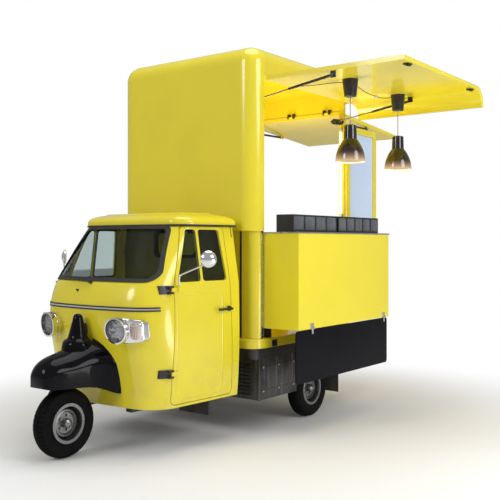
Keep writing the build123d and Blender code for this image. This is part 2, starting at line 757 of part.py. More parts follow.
# Chassis: cab rails, the riser behind the cab, the rail round the box and the arm brackets
RAIL_Z0 = PLINTH_Z0 - 90
RAIL_HALF = BOX_HALF - 34
RAIL_Y0 = BOX_Y0 + 50
RAIL_Y1 = BOX_Y1 - 45
CAB_RAIL_X = 230
with BuildPart() as chassis_frame:
    with BuildSketch(Plane.XY.offset(RAIL_Z0)):
        with Locations((0, (RAIL_Y0 + RAIL_Y1) / 2)):
            RectangleRounded(2 * RAIL_HALF, RAIL_Y1 - RAIL_Y0, 70)
            RectangleRounded(2 * RAIL_HALF - 130, RAIL_Y1 - RAIL_Y0 - 110, 20, mode=Mode.SUBTRACT)
    extrude(amount=PLINTH_Z0 - RAIL_Z0)
    for y in (WHEELBASE - 205, WHEELBASE + 160, RAIL_Y1 - 250):
        block(-RAIL_HALF + 30, RAIL_HALF - 30, y - 30, y + 30, RAIL_Z0, RAIL_Z0 + 60)
    for side in (-1, 1):
        a, b = sorted((side * (CAB_RAIL_X - 30), side * (CAB_RAIL_X + 30)))
        block(a, b, 420, RAIL_Y0 + 40, CAB_Z0 - 60, CAB_Z0)
        block(a, b, 420, CAB_Y1 - CAB_SKIN - 8, CAB_Z0 - 1, FLOOR_Z)
        block(a, b, RAIL_Y0 - 10, RAIL_Y0 + 40, CAB_Z0 - 60, PLINTH_Z0)
        for x0, x1 in ((ARM_X0 - 26, ARM_X0 - 6), (ARM_X0 - 10, ARM_X0 - SEAT)):
            c, d = sorted((side * x0, side * x1))
            block(c, d, ARM_Y - 34, ARM_Y + 34, ARM_Z - 36, RAIL_Z0 + 10)
        c, d = sorted((side * (ARM_X0 - 10), side * (ARM_X1 + 8)))
        rod_x(c, d, ARM_Y, ARM_Z, 16)
keep(chassis_frame, "chassis_frame")

# Battery case across the frame, louvred at the front, with the pack inside
CASE_Z0 = 267
CASE_Z1 = RAIL_Z0 - SEAT
CASE_HALF = BOX_HALF - 34
CASE_Y0 = RAIL_Y0 + 56
CASE_Y1 = WHEELBASE - TYRE_R - 22
LOUVRES = 9
with BuildPart() as battery_case:
    block(-CASE_HALF, CASE_HALF, CASE_Y0, CASE_Y1, CASE_Z0, CASE_Z1)
    half = CASE_HALF - 8
    block(-half, half, CASE_Y0 + 12, CASE_Y1 - 8, CASE_Z0 + 8, CASE_Z1 + 1, mode=Mode.SUBTRACT)
    pitch = (CASE_Z1 - CASE_Z0 - 60) / LOUVRES
    for n in range(LOUVRES):
        z = CASE_Z0 + 30 + (n + 0.5) * pitch
        for x0, x1 in ((-CASE_HALF + 90, -60), (60, CASE_HALF - 90)):
            with Locations(Location(((x0 + x1) / 2, CASE_Y0, z), (28, 0, 0))):
                Box(x1 - x0, 14, pitch * 0.5, mode=Mode.SUBTRACT)
    for side in (-1, 1):
        for z in (CASE_Z0 + 70, CASE_Z1 - 70):
            a, b = sorted((side * (CASE_HALF - 1), side * (CASE_HALF + 3)))
            block(a, b, CASE_Y0 + 30, CASE_Y1 - 30, z - 8, z + 8)
keep(battery_case, "battery_case")

MODULE_GAP = 30
MODULE_HALF = (CASE_HALF - 60 - MODULE_GAP) / 3
with BuildPart() as battery_pack:
    for side in (-1, 0, 1):
        x = side * (2 * MODULE_HALF + MODULE_GAP)
        block(x - MODULE_HALF, x + MODULE_HALF, CASE_Y0 + 40, CASE_Y1 - 40, CASE_Z0 + 8, CASE_Z1 - 60)
    fillet(battery_pack.edges().filter_by(Axis.Z), 12)
keep(battery_pack, "battery_pack")

# Drive unit on the rear frame
UNIT_R = 105
with BuildPart() as drive_unit:
    rod_x(-210, 190, WHEELBASE, AXLE_Z + 40, UNIT_R)
    rod_x(-250, -200, WHEELBASE, AXLE_Z + 40, UNIT_R - 22)
    rod_x(-70, 70, WHEELBASE, AXLE_Z + 40, UNIT_R + 16)
    rod_x(-(ARM_X0 - 30), ARM_X0 - 30, WHEELBASE, AXLE_Z + 18, 18)
    for x in (-120, 120):
        block(x - 20, x + 20, WHEELBASE - 240, WHEELBASE + 190, RAIL_Z0 - 40, RAIL_Z0)
        block(x - 20, x + 20, WHEELBASE - 40, WHEELBASE + 40, AXLE_Z + 100, RAIL_Z0 - 20)
keep(drive_unit, "drive_unit")

# Mudflaps behind the rear wheels and under the cab
FLAP_X = TRACK_HALF
with BuildPart() as mudflaps:
    for side in (-1, 1):
        for x, half, y, z0, z1 in (
            (FLAP_X - 30, 88, WHEELBASE + TYRE_R + 190, 150, RAIL_Z0),
            (CAB_RAIL_X + 200, 150, DOOR_REAR - 230, 215, CAB_Z0 + 20),
        ):
            block(side * x - half, side * x + half, y, y + 6, z0, z1)
keep(mudflaps, "mudflaps")

# Tail lamps under the box's rear edge
with BuildPart() as tail_lamps:
    for side in (-1, 1):
        for n, length in enumerate((86, 86, 60)):
            x = side * (RAIL_HALF - 110 - n * 96)
            with BuildSketch(Plane.XZ.offset(-RAIL_Y1)):
                with Locations((x, RAIL_Z0 + 45)):
                    RectangleRounded(length, 70, 14)
            extrude(amount=-26)
    fillet(tail_lamps.faces().sort_by(Axis.Y)[-6:].edges(), 6)
keep(tail_lamps, "tail_lamps")

# Box body: one rounded shell, parted where the awning's hinge line runs round it
MID_Y = (BOX_Y0 + BOX_Y1) / 2
BOX_LEN = BOX_Y1 - BOX_Y0


def rounded_block(half, length, z0, z1, corner, top_radius):
    """A block with rounded upright corners and a rounded top edge, centred on the box body."""
    with BuildPart() as form:
        with BuildSketch(Plane.XY.offset(z0)):
            with Locations((0, MID_Y)):
                RectangleRounded(2 * half, length, corner)
        extrude(amount=z1 - z0)
        fillet(form.faces().sort_by(Axis.Z)[-1].edges(), top_radius)
    return form.part


with BuildPart() as box_form:
    add(rounded_block(BOX_HALF, BOX_LEN, BOX_Z0, BOX_Z1, BOX_R, BOX_R - 4))
    hollow = BOX_R - WALL
    add(
        rounded_block(BOX_HALF - WALL, BOX_LEN - 2 * WALL, BOX_Z0 - 10, BOX_Z1 - WALL, hollow, hollow - 4),
        mode=Mode.SUBTRACT,
    )

HEADER_Z0 = FLAP_Z + SKIN_OUT + 4
FLAP_SIDE = FLAP_HALF + 14
with BuildPart() as box_roof:
    add(box_form.part)
    block(-BOX_HALF, BOX_HALF, BOX_Y0, BOX_Y1, BOX_Z0 - 20, SPLIT_Z, mode=Mode.SUBTRACT)
    block(-FLAP_SIDE, FLAP_SIDE - 18, BOX_Y1 - WALL, BOX_Y1, HEADER_Z0, SPLIT_Z + 20)
keep(box_roof, "box_roof")

with BuildPart() as box_walls:
    add(box_form.part)
    with BuildSketch(Plane.XY.offset(BOX_Z0)):
        with Locations((0, MID_Y)):
            RectangleRounded(2 * BOX_HALF - 10, BOX_LEN - 10, BOX_R - 5)
            Rectangle(2 * BOX_HALF - 98, BOX_LEN - 180, mode=Mode.SUBTRACT)
    extrude(amount=14)
    block(-BOX_HALF, BOX_HALF, BOX_Y0, BOX_Y1, SPLIT_Z, BOX_Z1 + 20, mode=Mode.SUBTRACT)
    low, high = BOX_Z0 - 20, SPLIT_Z + 1
    block(BOX_HALF - 2 * BOX_R - 40, BOX_HALF + 10, JAMB_Y - 3, BOX_Y1 + 10, low, high, mode=Mode.SUBTRACT)
    block(-FLAP_SIDE, BOX_HALF + 10, BOX_Y1 - 100, BOX_Y1 + 10, low, high, mode=Mode.SUBTRACT)
    block(BOX_HALF - 170, BOX_HALF - WALL / 2, JAMB_Y - WALL - 3, JAMB_Y - 3, BOX_Z0, SPLIT_Z)
keep(box_walls, "box_walls")

# Lower body: plinth and floor, recessed walls, and the post behind the serving hatch
LOWER_HALF = BOX_HALF - 19
LOWER_Y0 = BOX_Y0 + 60
LOWER_Y1 = BOX_Y1 - 40
LOWER_R = 90
COUNTER_Y0 = JAMB_Y + 18
POST_X0 = FLAP_HALF + 5
POST_X1 = POST_X0 + 57
POST_D = 27
DOORWAY_X0 = -40
with BuildPart() as lower_body:
    with BuildSketch(Plane.XY.offset(PLINTH_Z0)):
        with Locations((0, (BOX_Y0 + 20 + BOX_Y1 - 20) / 2)):
            RectangleRounded(2 * BOX_HALF, BOX_LEN - 40, BOX_R - 20)
    extrude(amount=PLINTH_Z1 - PLINTH_Z0)
    fillet(lower_body.faces().sort_by(Axis.Z)[-1].edges(), 16)
    with BuildSketch(Plane.XY.offset(PLINTH_Z1 - 1)):
        with Locations((0, (LOWER_Y0 + LOWER_Y1) / 2)):
            width, length = 2 * LOWER_HALF, LOWER_Y1 - LOWER_Y0
            RectangleRounded(width, length, LOWER_R)
            RectangleRounded(width - 2 * WALL, length - 2 * WALL, LOWER_R - WALL, mode=Mode.SUBTRACT)
    extrude(amount=BOX_Z0 - PLINTH_Z1 + 1)
    sill, back = FLAP_Z - FLAP_REACH - 6, LOWER_Y1 - 2 * WALL
    block(-BOX_HALF, BOX_HALF, back, LOWER_Y1 + 5, sill, BOX_Z0 + 5, mode=Mode.SUBTRACT)
    block(DOORWAY_X0, BOX_HALF, back, LOWER_Y1 + 5, PLINTH_Z1, BOX_Z0 + 5, mode=Mode.SUBTRACT)
    block(250, BOX_HALF, COUNTER_Y0 - 8, BOX_Y1, PLINTH_Z1, BOX_Z0 + 5, mode=Mode.SUBTRACT)
    block(-BOX_HALF + WALL, -FLAP_SIDE, BOX_Y1 - 130, BOX_Y1 - WALL, BOX_Z0 - 60, BOX_Z0)
    block(POST_X0, POST_X1, POST_Y, POST_Y + POST_D, PLINTH_Z1 - 5, BOX_Z1 - WALL - 54)
keep(lower_body, "lower_body")

# Serving awning: a flat leaf whose rear end bends down to make the box's corner
AWNING_Y0 = JAMB_Y
BEND_Y = BOX_Y1 - WRAP_R
SKIN_Z = AWNING_Z + SKIN_OUT
AWNING_X0 = AWNING_X + ROOT_GAP
AWNING_X1 = AWNING_X + AWNING_REACH
AWNING_HINGES = (AWNING_Y0 + 160, (AWNING_Y0 + BEND_Y) / 2, BEND_Y - 160)
KNUCKLE = 40
PIN_R = 5
with BuildPart() as awning_panel:
    with BuildSketch(Plane.YZ.offset(AWNING_X0)):
        with BuildLine():
            low = SKIN_Z - WRAP_R
            Line((AWNING_Y0, SKIN_Z), (BEND_Y, SKIN_Z))
            ThreePointArc(
                (BEND_Y, SKIN_Z),
                (BEND_Y + WRAP_R * sin(radians(45)), low + WRAP_R * cos(radians(45))),
                (BEND_Y + WRAP_R, low),
            )
            Polyline(
                (BEND_Y + WRAP_R, low),
                (BEND_Y + WRAP_R, low - WRAP_TAIL),
                (BEND_Y + WRAP_R - LEAF, low - WRAP_TAIL),
                (BEND_Y + WRAP_R - LEAF, low),
            )
            inner = WRAP_R - LEAF
            ThreePointArc(
                (BEND_Y + inner, low),
                (BEND_Y + inner * sin(radians(45)), low + inner * cos(radians(45))),
                (BEND_Y, SKIN_Z - LEAF),
            )
            Polyline((BEND_Y, SKIN_Z - LEAF), (AWNING_Y0, SKIN_Z - LEAF), (AWNING_Y0, SKIN_Z))
        make_face()
    extrude(amount=AWNING_X1 - AWNING_X0)
    fillet(awning_panel.edges().filter_by(Axis.Y).group_by(Axis.X)[-1], 10)
    for y in AWNING_HINGES:
        rod_y(y - KNUCKLE / 2, y + KNUCKLE / 2, AWNING_X, AWNING_Z, HINGE_R)
        block(AWNING_X + 4, AWNING_X0 + 4, y - KNUCKLE / 2, y + KNUCKLE / 2, AWNING_Z - 5, AWNING_Z + 5)
        rod_y(y - KNUCKLE, y + KNUCKLE, AWNING_X, AWNING_Z, PIN_R + RUN, mode=Mode.SUBTRACT)
keep(awning_panel, "awning_panel")

# Gas strut sizes; each end is placed from its leaf's hinge
ROD_R = 5
TUBE_R = 11
TUBE_LEN = 400
STUD_R = 6
EYE_R = 14
STRUT_BASE = (-135, -170)
STRUT_TOP = (620, -55)
FLAP_BASE = (-90, -100)
FLAP_TOP = (600, -40)
STRUT_YS = (JAMB_Y + 22, POST_Y - 82)
STRUT_ZS = (AWNING_Z + STRUT_BASE[1], AWNING_Z + STRUT_TOP[1])
FLAP_XS = (-FLAP_HALF + 32, FLAP_HALF - 32)

# Rear flap, drooping a little when open, with the brackets that its struts end at
FLAP = Plane(
    (0, FLAP_Y, FLAP_Z),
    x_dir=(1, 0, 0),
    z_dir=(0, sin(radians(FLAP_DROOP)), cos(radians(FLAP_DROOP))),
)
FLAP_HINGES = (-FLAP_HALF + 150, 0, FLAP_HALF - 150)
with BuildPart(FLAP) as rear_flap:
    with Locations((0, (ROOT_GAP + FLAP_REACH) / 2, SKIN_OUT - LEAF / 2)):
        Box(2 * FLAP_HALF, FLAP_REACH - ROOT_GAP, LEAF)
    fillet(rear_flap.edges().group_by(Axis.Y)[-1], 8)
    for x, side in zip(FLAP_XS, (1, -1)):
        with Locations((x + side * 17, FLAP_TOP[0], (FLAP_TOP[1] - 16 + SKIN_OUT - LEAF) / 2)):
            Box(10, 44, SKIN_OUT - LEAF - FLAP_TOP[1] + 16)
        with Locations(Location((x + side * (10.5 + SEAT / 2), FLAP_TOP[0], FLAP_TOP[1]), (0, 90, 0))):
            Cylinder(STUD_R, 7 - SEAT)
    for x in FLAP_HINGES:
        with Locations(Location((x, 0, 0), (0, 90, 0))):
            Cylinder(HINGE_R, KNUCKLE)
        with Locations((x, ROOT_GAP / 2 + 4, 0)):
            Box(KNUCKLE, ROOT_GAP, 10)
        with Locations(Location((x, 0, 0), (0, 90, 0))):
            Cylinder(PIN_R + RUN, 2 * KNUCKLE, mode=Mode.SUBTRACT)
keep(rear_flap, "rear_flap")

# Gas struts: rods on the body, tubes at the leaf


def strut_frames(base, top, places, spread):
    """For each strut, a plane at its base with X along the strut and Z along the pivot."""
    run = Vector(*top) - Vector(*base)
    return [Plane(Vector(*base) + spread * p, x_dir=run, z_dir=spread) for p in places], run.length


flap_rad = radians(FLAP_DROOP)
flap_top = (
    FLAP_Y + FLAP_TOP[0] * cos(flap_rad) + FLAP_TOP[1] * sin(flap_rad),
    FLAP_Z - FLAP_TOP[0] * sin(flap_rad) + FLAP_TOP[1] * cos(flap_rad),
)
AWNING_FRAMES, AWNING_RUN = strut_frames(
    (AWNING_X + STRUT_BASE[0], 0, AWNING_Z + STRUT_BASE[1]),
    (AWNING_X + STRUT_TOP[0], 0, AWNING_Z + STRUT_TOP[1]),
    STRUT_YS,
    Vector(0, 1, 0),
)
FLAP_FRAMES, FLAP_RUN = strut_frames(
    (0, FLAP_Y + FLAP_BASE[0], FLAP_Z + FLAP_BASE[1]),
    (0, flap_top[0], flap_top[1]),
    FLAP_XS,
    Vector(1, 0, 0),
)


def strut_rods(name, frames, run, tube_len):
    """The thin rods, each with an eye on the body's stud."""
    reach = run - tube_len + 22
    with BuildPart(*frames) as rods:
        Cylinder(EYE_R, 14)
        with Locations(Location((reach / 2 + 6, 0, 0), (0, 90, 0))):
            Cylinder(ROD_R, reach - 12)
        Cylinder(STUD_R + RUN, 30, mode=Mode.SUBTRACT)
    keep(rods, name)


def strut_tubes(name, frames, run, tube_len):
    """The thick tubes, each with a flat eye beside the leaf's stud."""
    with BuildPart(*frames) as tubes:
        with Locations(Location((run - tube_len / 2 - 5, 0, 0), (0, 90, 0))):
            Cylinder(TUBE_R, tube_len - 10)
        with Locations(Location((run - tube_len / 2 - 20, 0, 0), (0, 90, 0))):
            Cylinder(ROD_R + SEAT, tube_len - 40, mode=Mode.SUBTRACT)
        with Locations((run, 0, 0)):
            Cylinder(EYE_R, 14)
    keep(tubes, name)


FLAP_TUBE = TUBE_LEN - 20
strut_rods("awning_strut_rods", AWNING_FRAMES, AWNING_RUN, TUBE_LEN)
strut_tubes("awning_strut_tubes", AWNING_FRAMES, AWNING_RUN, TUBE_LEN)
strut_rods("flap_strut_rods", FLAP_FRAMES, FLAP_RUN, FLAP_TUBE)
strut_tubes("flap_strut_tubes", FLAP_FRAMES, FLAP_RUN, FLAP_TUBE)
print("awning strut", round(AWNING_RUN, 1), "flap strut", round(FLAP_RUN, 1))

# Pendant lamps: roses on the awning, taut cords, belled shades and bulbs
LAMP_PLACE_X = AWNING_X + 570
LAMP_YS = (JAMB_Y + 388, POST_Y - 245)
ROSE_H = 136.7
UNDER_Z = SKIN_Z - LEAF
SWING_Z = UNDER_Z - ROSE_H - 4.3
CORD_R = 4
SHADE_Z0 = SWING_Z - 519
BELL_H = 182
NECK_H = 113
BELL_R = 119
NECK_R = 53
BULB_R = 34
BRACKET_X = AWNING_X + STRUT_TOP[0]
LATCH_YS = (AWNING_Y0 + 150, BEND_Y - 40)

with BuildPart() as awning_fittings:
    for y in LAMP_YS:
        with Locations((LAMP_PLACE_X, y, UNDER_Z - ROSE_H / 2)):
            Cone(49, 64, ROSE_H)
    for y, side in zip(STRUT_YS, (1, -1)):
        a, b = sorted((y + side * 12, y + side * 22))
        block(BRACKET_X - 22, BRACKET_X + 22, a, b, STRUT_ZS[1] - 16, UNDER_Z)
        c, d = sorted((y + side * (7 + SEAT), y + side * 14))
        rod_y(c, d, BRACKET_X, STRUT_ZS[1], STUD_R)
    for y in LATCH_YS:
        block(AWNING_X1 - 70, AWNING_X1 - 24, y - 30, y + 30, UNDER_Z - 10, UNDER_Z)
        rod_y(y - 22, y + 22, AWNING_X1 - 40, UNDER_Z - 13, 7)
keep(awning_fittings, "awning_fittings")

with BuildPart() as lamp_cords:
    for y in LAMP_YS:
        rod_z(SHADE_Z0 + BELL_H + NECK_H - 20, SWING_Z, LAMP_PLACE_X, y, CORD_R)
        rod_y(y - 6, y + 6, LAMP_PLACE_X, SWING_Z, CORD_R)
keep(lamp_cords, "lamp_cords")

SHADE_T = 4
with BuildPart() as lamp_shades:
    for y in LAMP_YS:
        with BuildSketch(Plane((LAMP_PLACE_X, y, SHADE_Z0), x_dir=(1, 0, 0), z_dir=(0, -1, 0))):
            with BuildLine():
                top = BELL_H + NECK_H
                Line((BELL_R - SHADE_T, 0), (BELL_R, 0))
                ThreePointArc((BELL_R, 0), (BELL_R - 19, BELL_H * 0.56), (NECK_R, BELL_H))
                Polyline((NECK_R, BELL_H), (NECK_R - 4, top - 6), (NECK_R - 12, top), (CORD_R + 0.02, top))
                Polyline((CORD_R + 0.02, top), (CORD_R + 0.02, top - 20), (NECK_R - 12, top - 20))
                Line((NECK_R - 12, top - 20), (NECK_R - SHADE_T, BELL_H))
                ThreePointArc(
                    (NECK_R - SHADE_T, BELL_H), (BELL_R - 19 - SHADE_T, BELL_H * 0.54), (BELL_R - SHADE_T, 0)
                )
            make_face()
        revolve(axis=Axis((LAMP_PLACE_X, y, SHADE_Z0), (0, 0, 1)))
keep(lamp_shades, "lamp_shades")

with BuildPart() as lamp_bulbs:
    for y in LAMP_YS:
        rod_z(SHADE_Z0 + BELL_H - 30, SHADE_Z0 + BELL_H + NECK_H - 20 - SEAT, LAMP_PLACE_X, y, 20)
        with Locations((LAMP_PLACE_X, y, SHADE_Z0 + BELL_H - 50)):
            Sphere(BULB_R)
keep(lamp_bulbs, "lamp_bulbs")

# Lamp lead: taut along the awning to the first rose, then a shallow sag to the second
LEAD_R = 3
LEAD_Z = UNDER_Z - LEAD_R - SEAT
LEAD = [
    (AWNING_X + 60, LAMP_YS[0] - 40, LEAD_Z),
    (AWNING_X + 260, LAMP_YS[0] - 40, LEAD_Z - 14),
    (AWNING_X + 430, LAMP_YS[0] - 20, LEAD_Z - 6),
    (LAMP_PLACE_X - 63, LAMP_YS[0], LEAD_Z - 14),
]
SAG = [
    (LAMP_PLACE_X, LAMP_YS[0] + 62.5, LEAD_Z - 22),
    (LAMP_PLACE_X + 3, LAMP_YS[0] + 220, LEAD_Z - 64),
    (LAMP_PLACE_X, LAMP_YS[0] + 430, LEAD_Z - 72),
    (LAMP_PLACE_X - 3, LAMP_YS[0] + 640, LEAD_Z - 58),
    (LAMP_PLACE_X, LAMP_YS[1] - 62.5, LEAD_Z - 22),
]


def bend_radii(points):
    """The largest arc that each bend of a cord's route has room for."""
    radii = []
    for a, b, c in zip(points, points[1:], points[2:]):
        before, after = Vector(*b) - Vector(*a), Vector(*c) - Vector(*b)
        turn = radians(before.get_angle(after))
        radii.append(0.45 * min(before.length, after.length) / tan(turn / 2))
    return radii


def cord_tube(points):
    """A round cord along a route of straight runs and tangent arcs."""
    with BuildPart() as cord:
        with BuildLine() as route:
            FilletPolyline(*points, radius=bend_radii(points))
        with BuildSketch(Plane(route.wire() @ 0, z_dir=route.wire() % 0)):
            Circle(LEAD_R)
        sweep()
    return cord.part


print("lead bends", [round(r) for r in bend_radii(LEAD) + bend_radii(SAG)])
with BuildPart() as lamp_leads:
    add(cord_tube(LEAD))
    add(cord_tube(SAG))
    block(
        LAMP_PLACE_X - 11,
        LAMP_PLACE_X + 11,
        LAMP_YS[0] + 405,
        LAMP_YS[0] + 455,
        LEAD_Z - 84,
        LEAD_Z - 58,
    )
keep(lamp_leads, "lamp_leads")

# Rear door, open backwards, hung on plates from the post
DOOR_AXIS_X = POST_X0 + 6
DOOR_AXIS_Y = POST_Y + POST_D + 55
REAR_DOOR_Z0 = PLINTH_Z1 + 24
REAR_DOOR_Z1 = FLAP_Z - 120
REAR_DOOR_W = 600
LEAF_X0 = DOOR_AXIS_X - 4
LEAF_X1 = DOOR_AXIS_X + 24
PLATE_ZS = (REAR_DOOR_Z0 + 300, REAR_DOOR_Z1 - 280)
FRAME_W = 64
LEAF_Y0 = DOOR_AXIS_Y + 20
with BuildPart() as rear_door:
    block(LEAF_X0, LEAF_X1, LEAF_Y0, LEAF_Y0 + REAR_DOOR_W, REAR_DOOR_Z0, REAR_DOOR_Z1)
    fillet(rear_door.edges().filter_by(Axis.X), 22)
    block(
        LEAF_X0 - 1,
        LEAF_X1 + 1,
        LEAF_Y0 + FRAME_W,
        LEAF_Y0 + REAR_DOOR_W - FRAME_W,
        COUNTER_Z1 - 60,
        REAR_DOOR_Z1 - FRAME_W,
        mode=Mode.SUBTRACT,
    )
    for z in PLATE_ZS:
        for a, b in ((z + 16, z + 42), (z - 42, z - 16)):
            rod_z(a, b, DOOR_AXIS_X, DOOR_AXIS_Y, 11)
            block(LEAF_X0, LEAF_X0 + 12, DOOR_AXIS_Y, LEAF_Y0 + 10, a, b)
            rod_z(a - 1, b + 1, DOOR_AXIS_X, DOOR_AXIS_Y, STUD_R + RUN, mode=Mode.SUBTRACT)
keep(rear_door, "rear_door")

with BuildPart() as rear_door_pane:
    block(
        LEAF_X0 + 10,
        LEAF_X0 + 18,
        LEAF_Y0 + FRAME_W + SEAT,
        LEAF_Y0 + REAR_DOOR_W - FRAME_W - SEAT,
        COUNTER_Z1 - 60 + SEAT,
        REAR_DOOR_Z1 - FRAME_W - SEAT,
    )
keep(rear_door_pane, "rear_door_pane")

# Slide-out counter, its top, two display caddies and the skirt below
SLIDE = 300
COUNTER_IN = COUNTER_OUT - 370
COUNTER_Y1 = BOX_Y1 - 5
COUNTER_Z0 = 850
BOARD = 20
TOP_T = 12
NOTCH_X = POST_X1 + SLIDE + 25
NOTCH_Y = POST_Y - 13
RAIL_YS = (COUNTER_Y0 + 90, NOTCH_Y - 170)
SKIRT_YS = (COUNTER_Y0 + 190, NOTCH_Y - 30)
SKIRT_AXIS = (COUNTER_OUT + 8, COUNTER_Z0 + 2)
BOARD_Z1 = COUNTER_Z1 - TOP_T
with BuildPart() as counter_box:
    block(COUNTER_OUT - BOARD, COUNTER_OUT, COUNTER_Y0, COUNTER_Y1, COUNTER_Z0, BOARD_Z1)
    block(COUNTER_IN, COUNTER_OUT - BOARD, COUNTER_Y0, COUNTER_Y0 + BOARD, COUNTER_Z0, BOARD_Z1)
    block(COUNTER_IN, NOTCH_X + BOARD, NOTCH_Y - BOARD, NOTCH_Y, COUNTER_Z0, BOARD_Z1)
    block(NOTCH_X, NOTCH_X + BOARD, NOTCH_Y - BOARD, COUNTER_Y1, COUNTER_Z0, BOARD_Z1)
    block(NOTCH_X, COUNTER_OUT - BOARD, COUNTER_Y1 - BOARD, COUNTER_Y1, COUNTER_Z0, BOARD_Z1)
    block(COUNTER_IN, COUNTER_OUT - BOARD, COUNTER_Y0, NOTCH_Y, COUNTER_Z0, COUNTER_Z0 + TOP_T)
    block(NOTCH_X, COUNTER_OUT - BOARD, NOTCH_Y - BOARD, COUNTER_Y1, COUNTER_Z0, COUNTER_Z0 + TOP_T)
    for y in RAIL_YS:
        block(COUNTER_IN - 220, COUNTER_IN + 40, y - 22, y + 22, COUNTER_Z0, COUNTER_Z0 + TOP_T)
    for y in SKIRT_YS:
        block(COUNTER_OUT, COUNTER_OUT + 6, y - 26, y + 26, COUNTER_Z0 + 14, COUNTER_Z0 + 46)
        for a, b in ((y - 26, y - 12.3), (y + 12.3, y + 26)):
            rod_y(a, b, SKIRT_AXIS[0], SKIRT_AXIS[1], 7)
            block(COUNTER_OUT, COUNTER_OUT + 10, a, b, SKIRT_AXIS[1], COUNTER_Z0 + 20)
        rod_y(y - 26, y + 26, SKIRT_AXIS[0], SKIRT_AXIS[1], 4)
keep(counter_box, "counter_box")

with BuildPart() as counter_top:
    block(COUNTER_IN - 4, COUNTER_OUT + 6, COUNTER_Y0 - 4, NOTCH_Y, BOARD_Z1, COUNTER_Z1)
    block(NOTCH_X - 4, COUNTER_OUT + 6, NOTCH_Y, COUNTER_Y1 + 4, BOARD_Z1, COUNTER_Z1)
keep(counter_top, "counter_top")

CADDY_X0 = COUNTER_OUT - 226
CADDY_X1 = COUNTER_OUT - 66
CADDY_H = 140
CADDY_T = 6
CADDIES = ((COUNTER_Y0 + 20, COUNTER_Y0 + 690, 4), (COUNTER_Y0 + 715, NOTCH_Y - 6, 5))
with BuildPart() as display_caddies:
    for y0, y1, cells in CADDIES:
        block(CADDY_X0, CADDY_X1, y0, y1, COUNTER_Z1, COUNTER_Z1 + CADDY_H)
        width = (y1 - y0 - CADDY_T) / cells
        for n in range(cells):
            a, b = y0 + CADDY_T + n * width, y0 + (n + 1) * width
            low, high = COUNTER_Z1 + CADDY_T, COUNTER_Z1 + CADDY_H
            block(CADDY_X0 + CADDY_T, CADDY_X1 - CADDY_T, a, b, low, high + 1, mode=Mode.SUBTRACT)
            block(CADDY_X1 - 3, CADDY_X1 + 1, a + 8, b - 8, low + 10, high - 14, mode=Mode.SUBTRACT)
keep(display_caddies, "display_caddies")

SKIRT_Z0 = 430
with BuildPart() as skirt:
    with BuildSketch(Plane.YZ.offset(COUNTER_OUT - 8)) as sheet:
        with BuildLine():
            Polyline(
                (COUNTER_Y0 - 35, COUNTER_Z0 - 4),
                (COUNTER_Y1 - 35, COUNTER_Z0 - 4),
                (COUNTER_Y1 - 35, SKIRT_Z0),
                (COUNTER_Y0 - 35, SKIRT_Z0),
                close=True,
            )
        make_face()
        fillet(sheet.vertices().group_by(Axis.Z)[0], 30)
    extrude(amount=8)
    for y in SKIRT_YS:
        rod_y(y - 12, y + 12, SKIRT_AXIS[0], SKIRT_AXIS[1], 7)
        block(COUNTER_OUT + 4, COUNTER_OUT + 10, y - 12, y + 12, COUNTER_Z0 - 40, SKIRT_AXIS[1])
        block(COUNTER_OUT - 1, COUNTER_OUT + 5, y - 12, y + 12, COUNTER_Z0 - 40, COUNTER_Z0 - 8)
        rod_y(y - 13, y + 13, SKIRT_AXIS[0], SKIRT_AXIS[1], 4 + RUN, mode=Mode.SUBTRACT)
keep(skirt, "skirt")

# Fixed hardware: hinge leaves and pins, strut studs, door hinge covers, counter rails, power inlet
INLET_Y = COUNTER_Y0 + 120
with BuildPart() as cover_places:
    for z in HINGE_ZS:
        block(0, 900, HINGE_Y - 84, HINGE_Y - 12, z - 30, z + 30)

with BuildPart() as hinge_covers:
    add(cab_skin(-10, 0))
    add(cover_places.part, mode=Mode.INTERSECT)
    for z in HINGE_ZS:
        for a, b in ((z - 30, z - 14 - SEAT), (z + 14 + SEAT, z + 30)):
            rod_z(a, b, HINGE_X, HINGE_Y, 11)
            block(HINGE_X - 26, HINGE_X + 6, HINGE_Y - 36, HINGE_Y, a, b)
        rod_z(z - 30, z + 30, HINGE_X, HINGE_Y, 5)
    add(SOLID, mode=Mode.SUBTRACT)
    mirror(about=Plane.YZ)

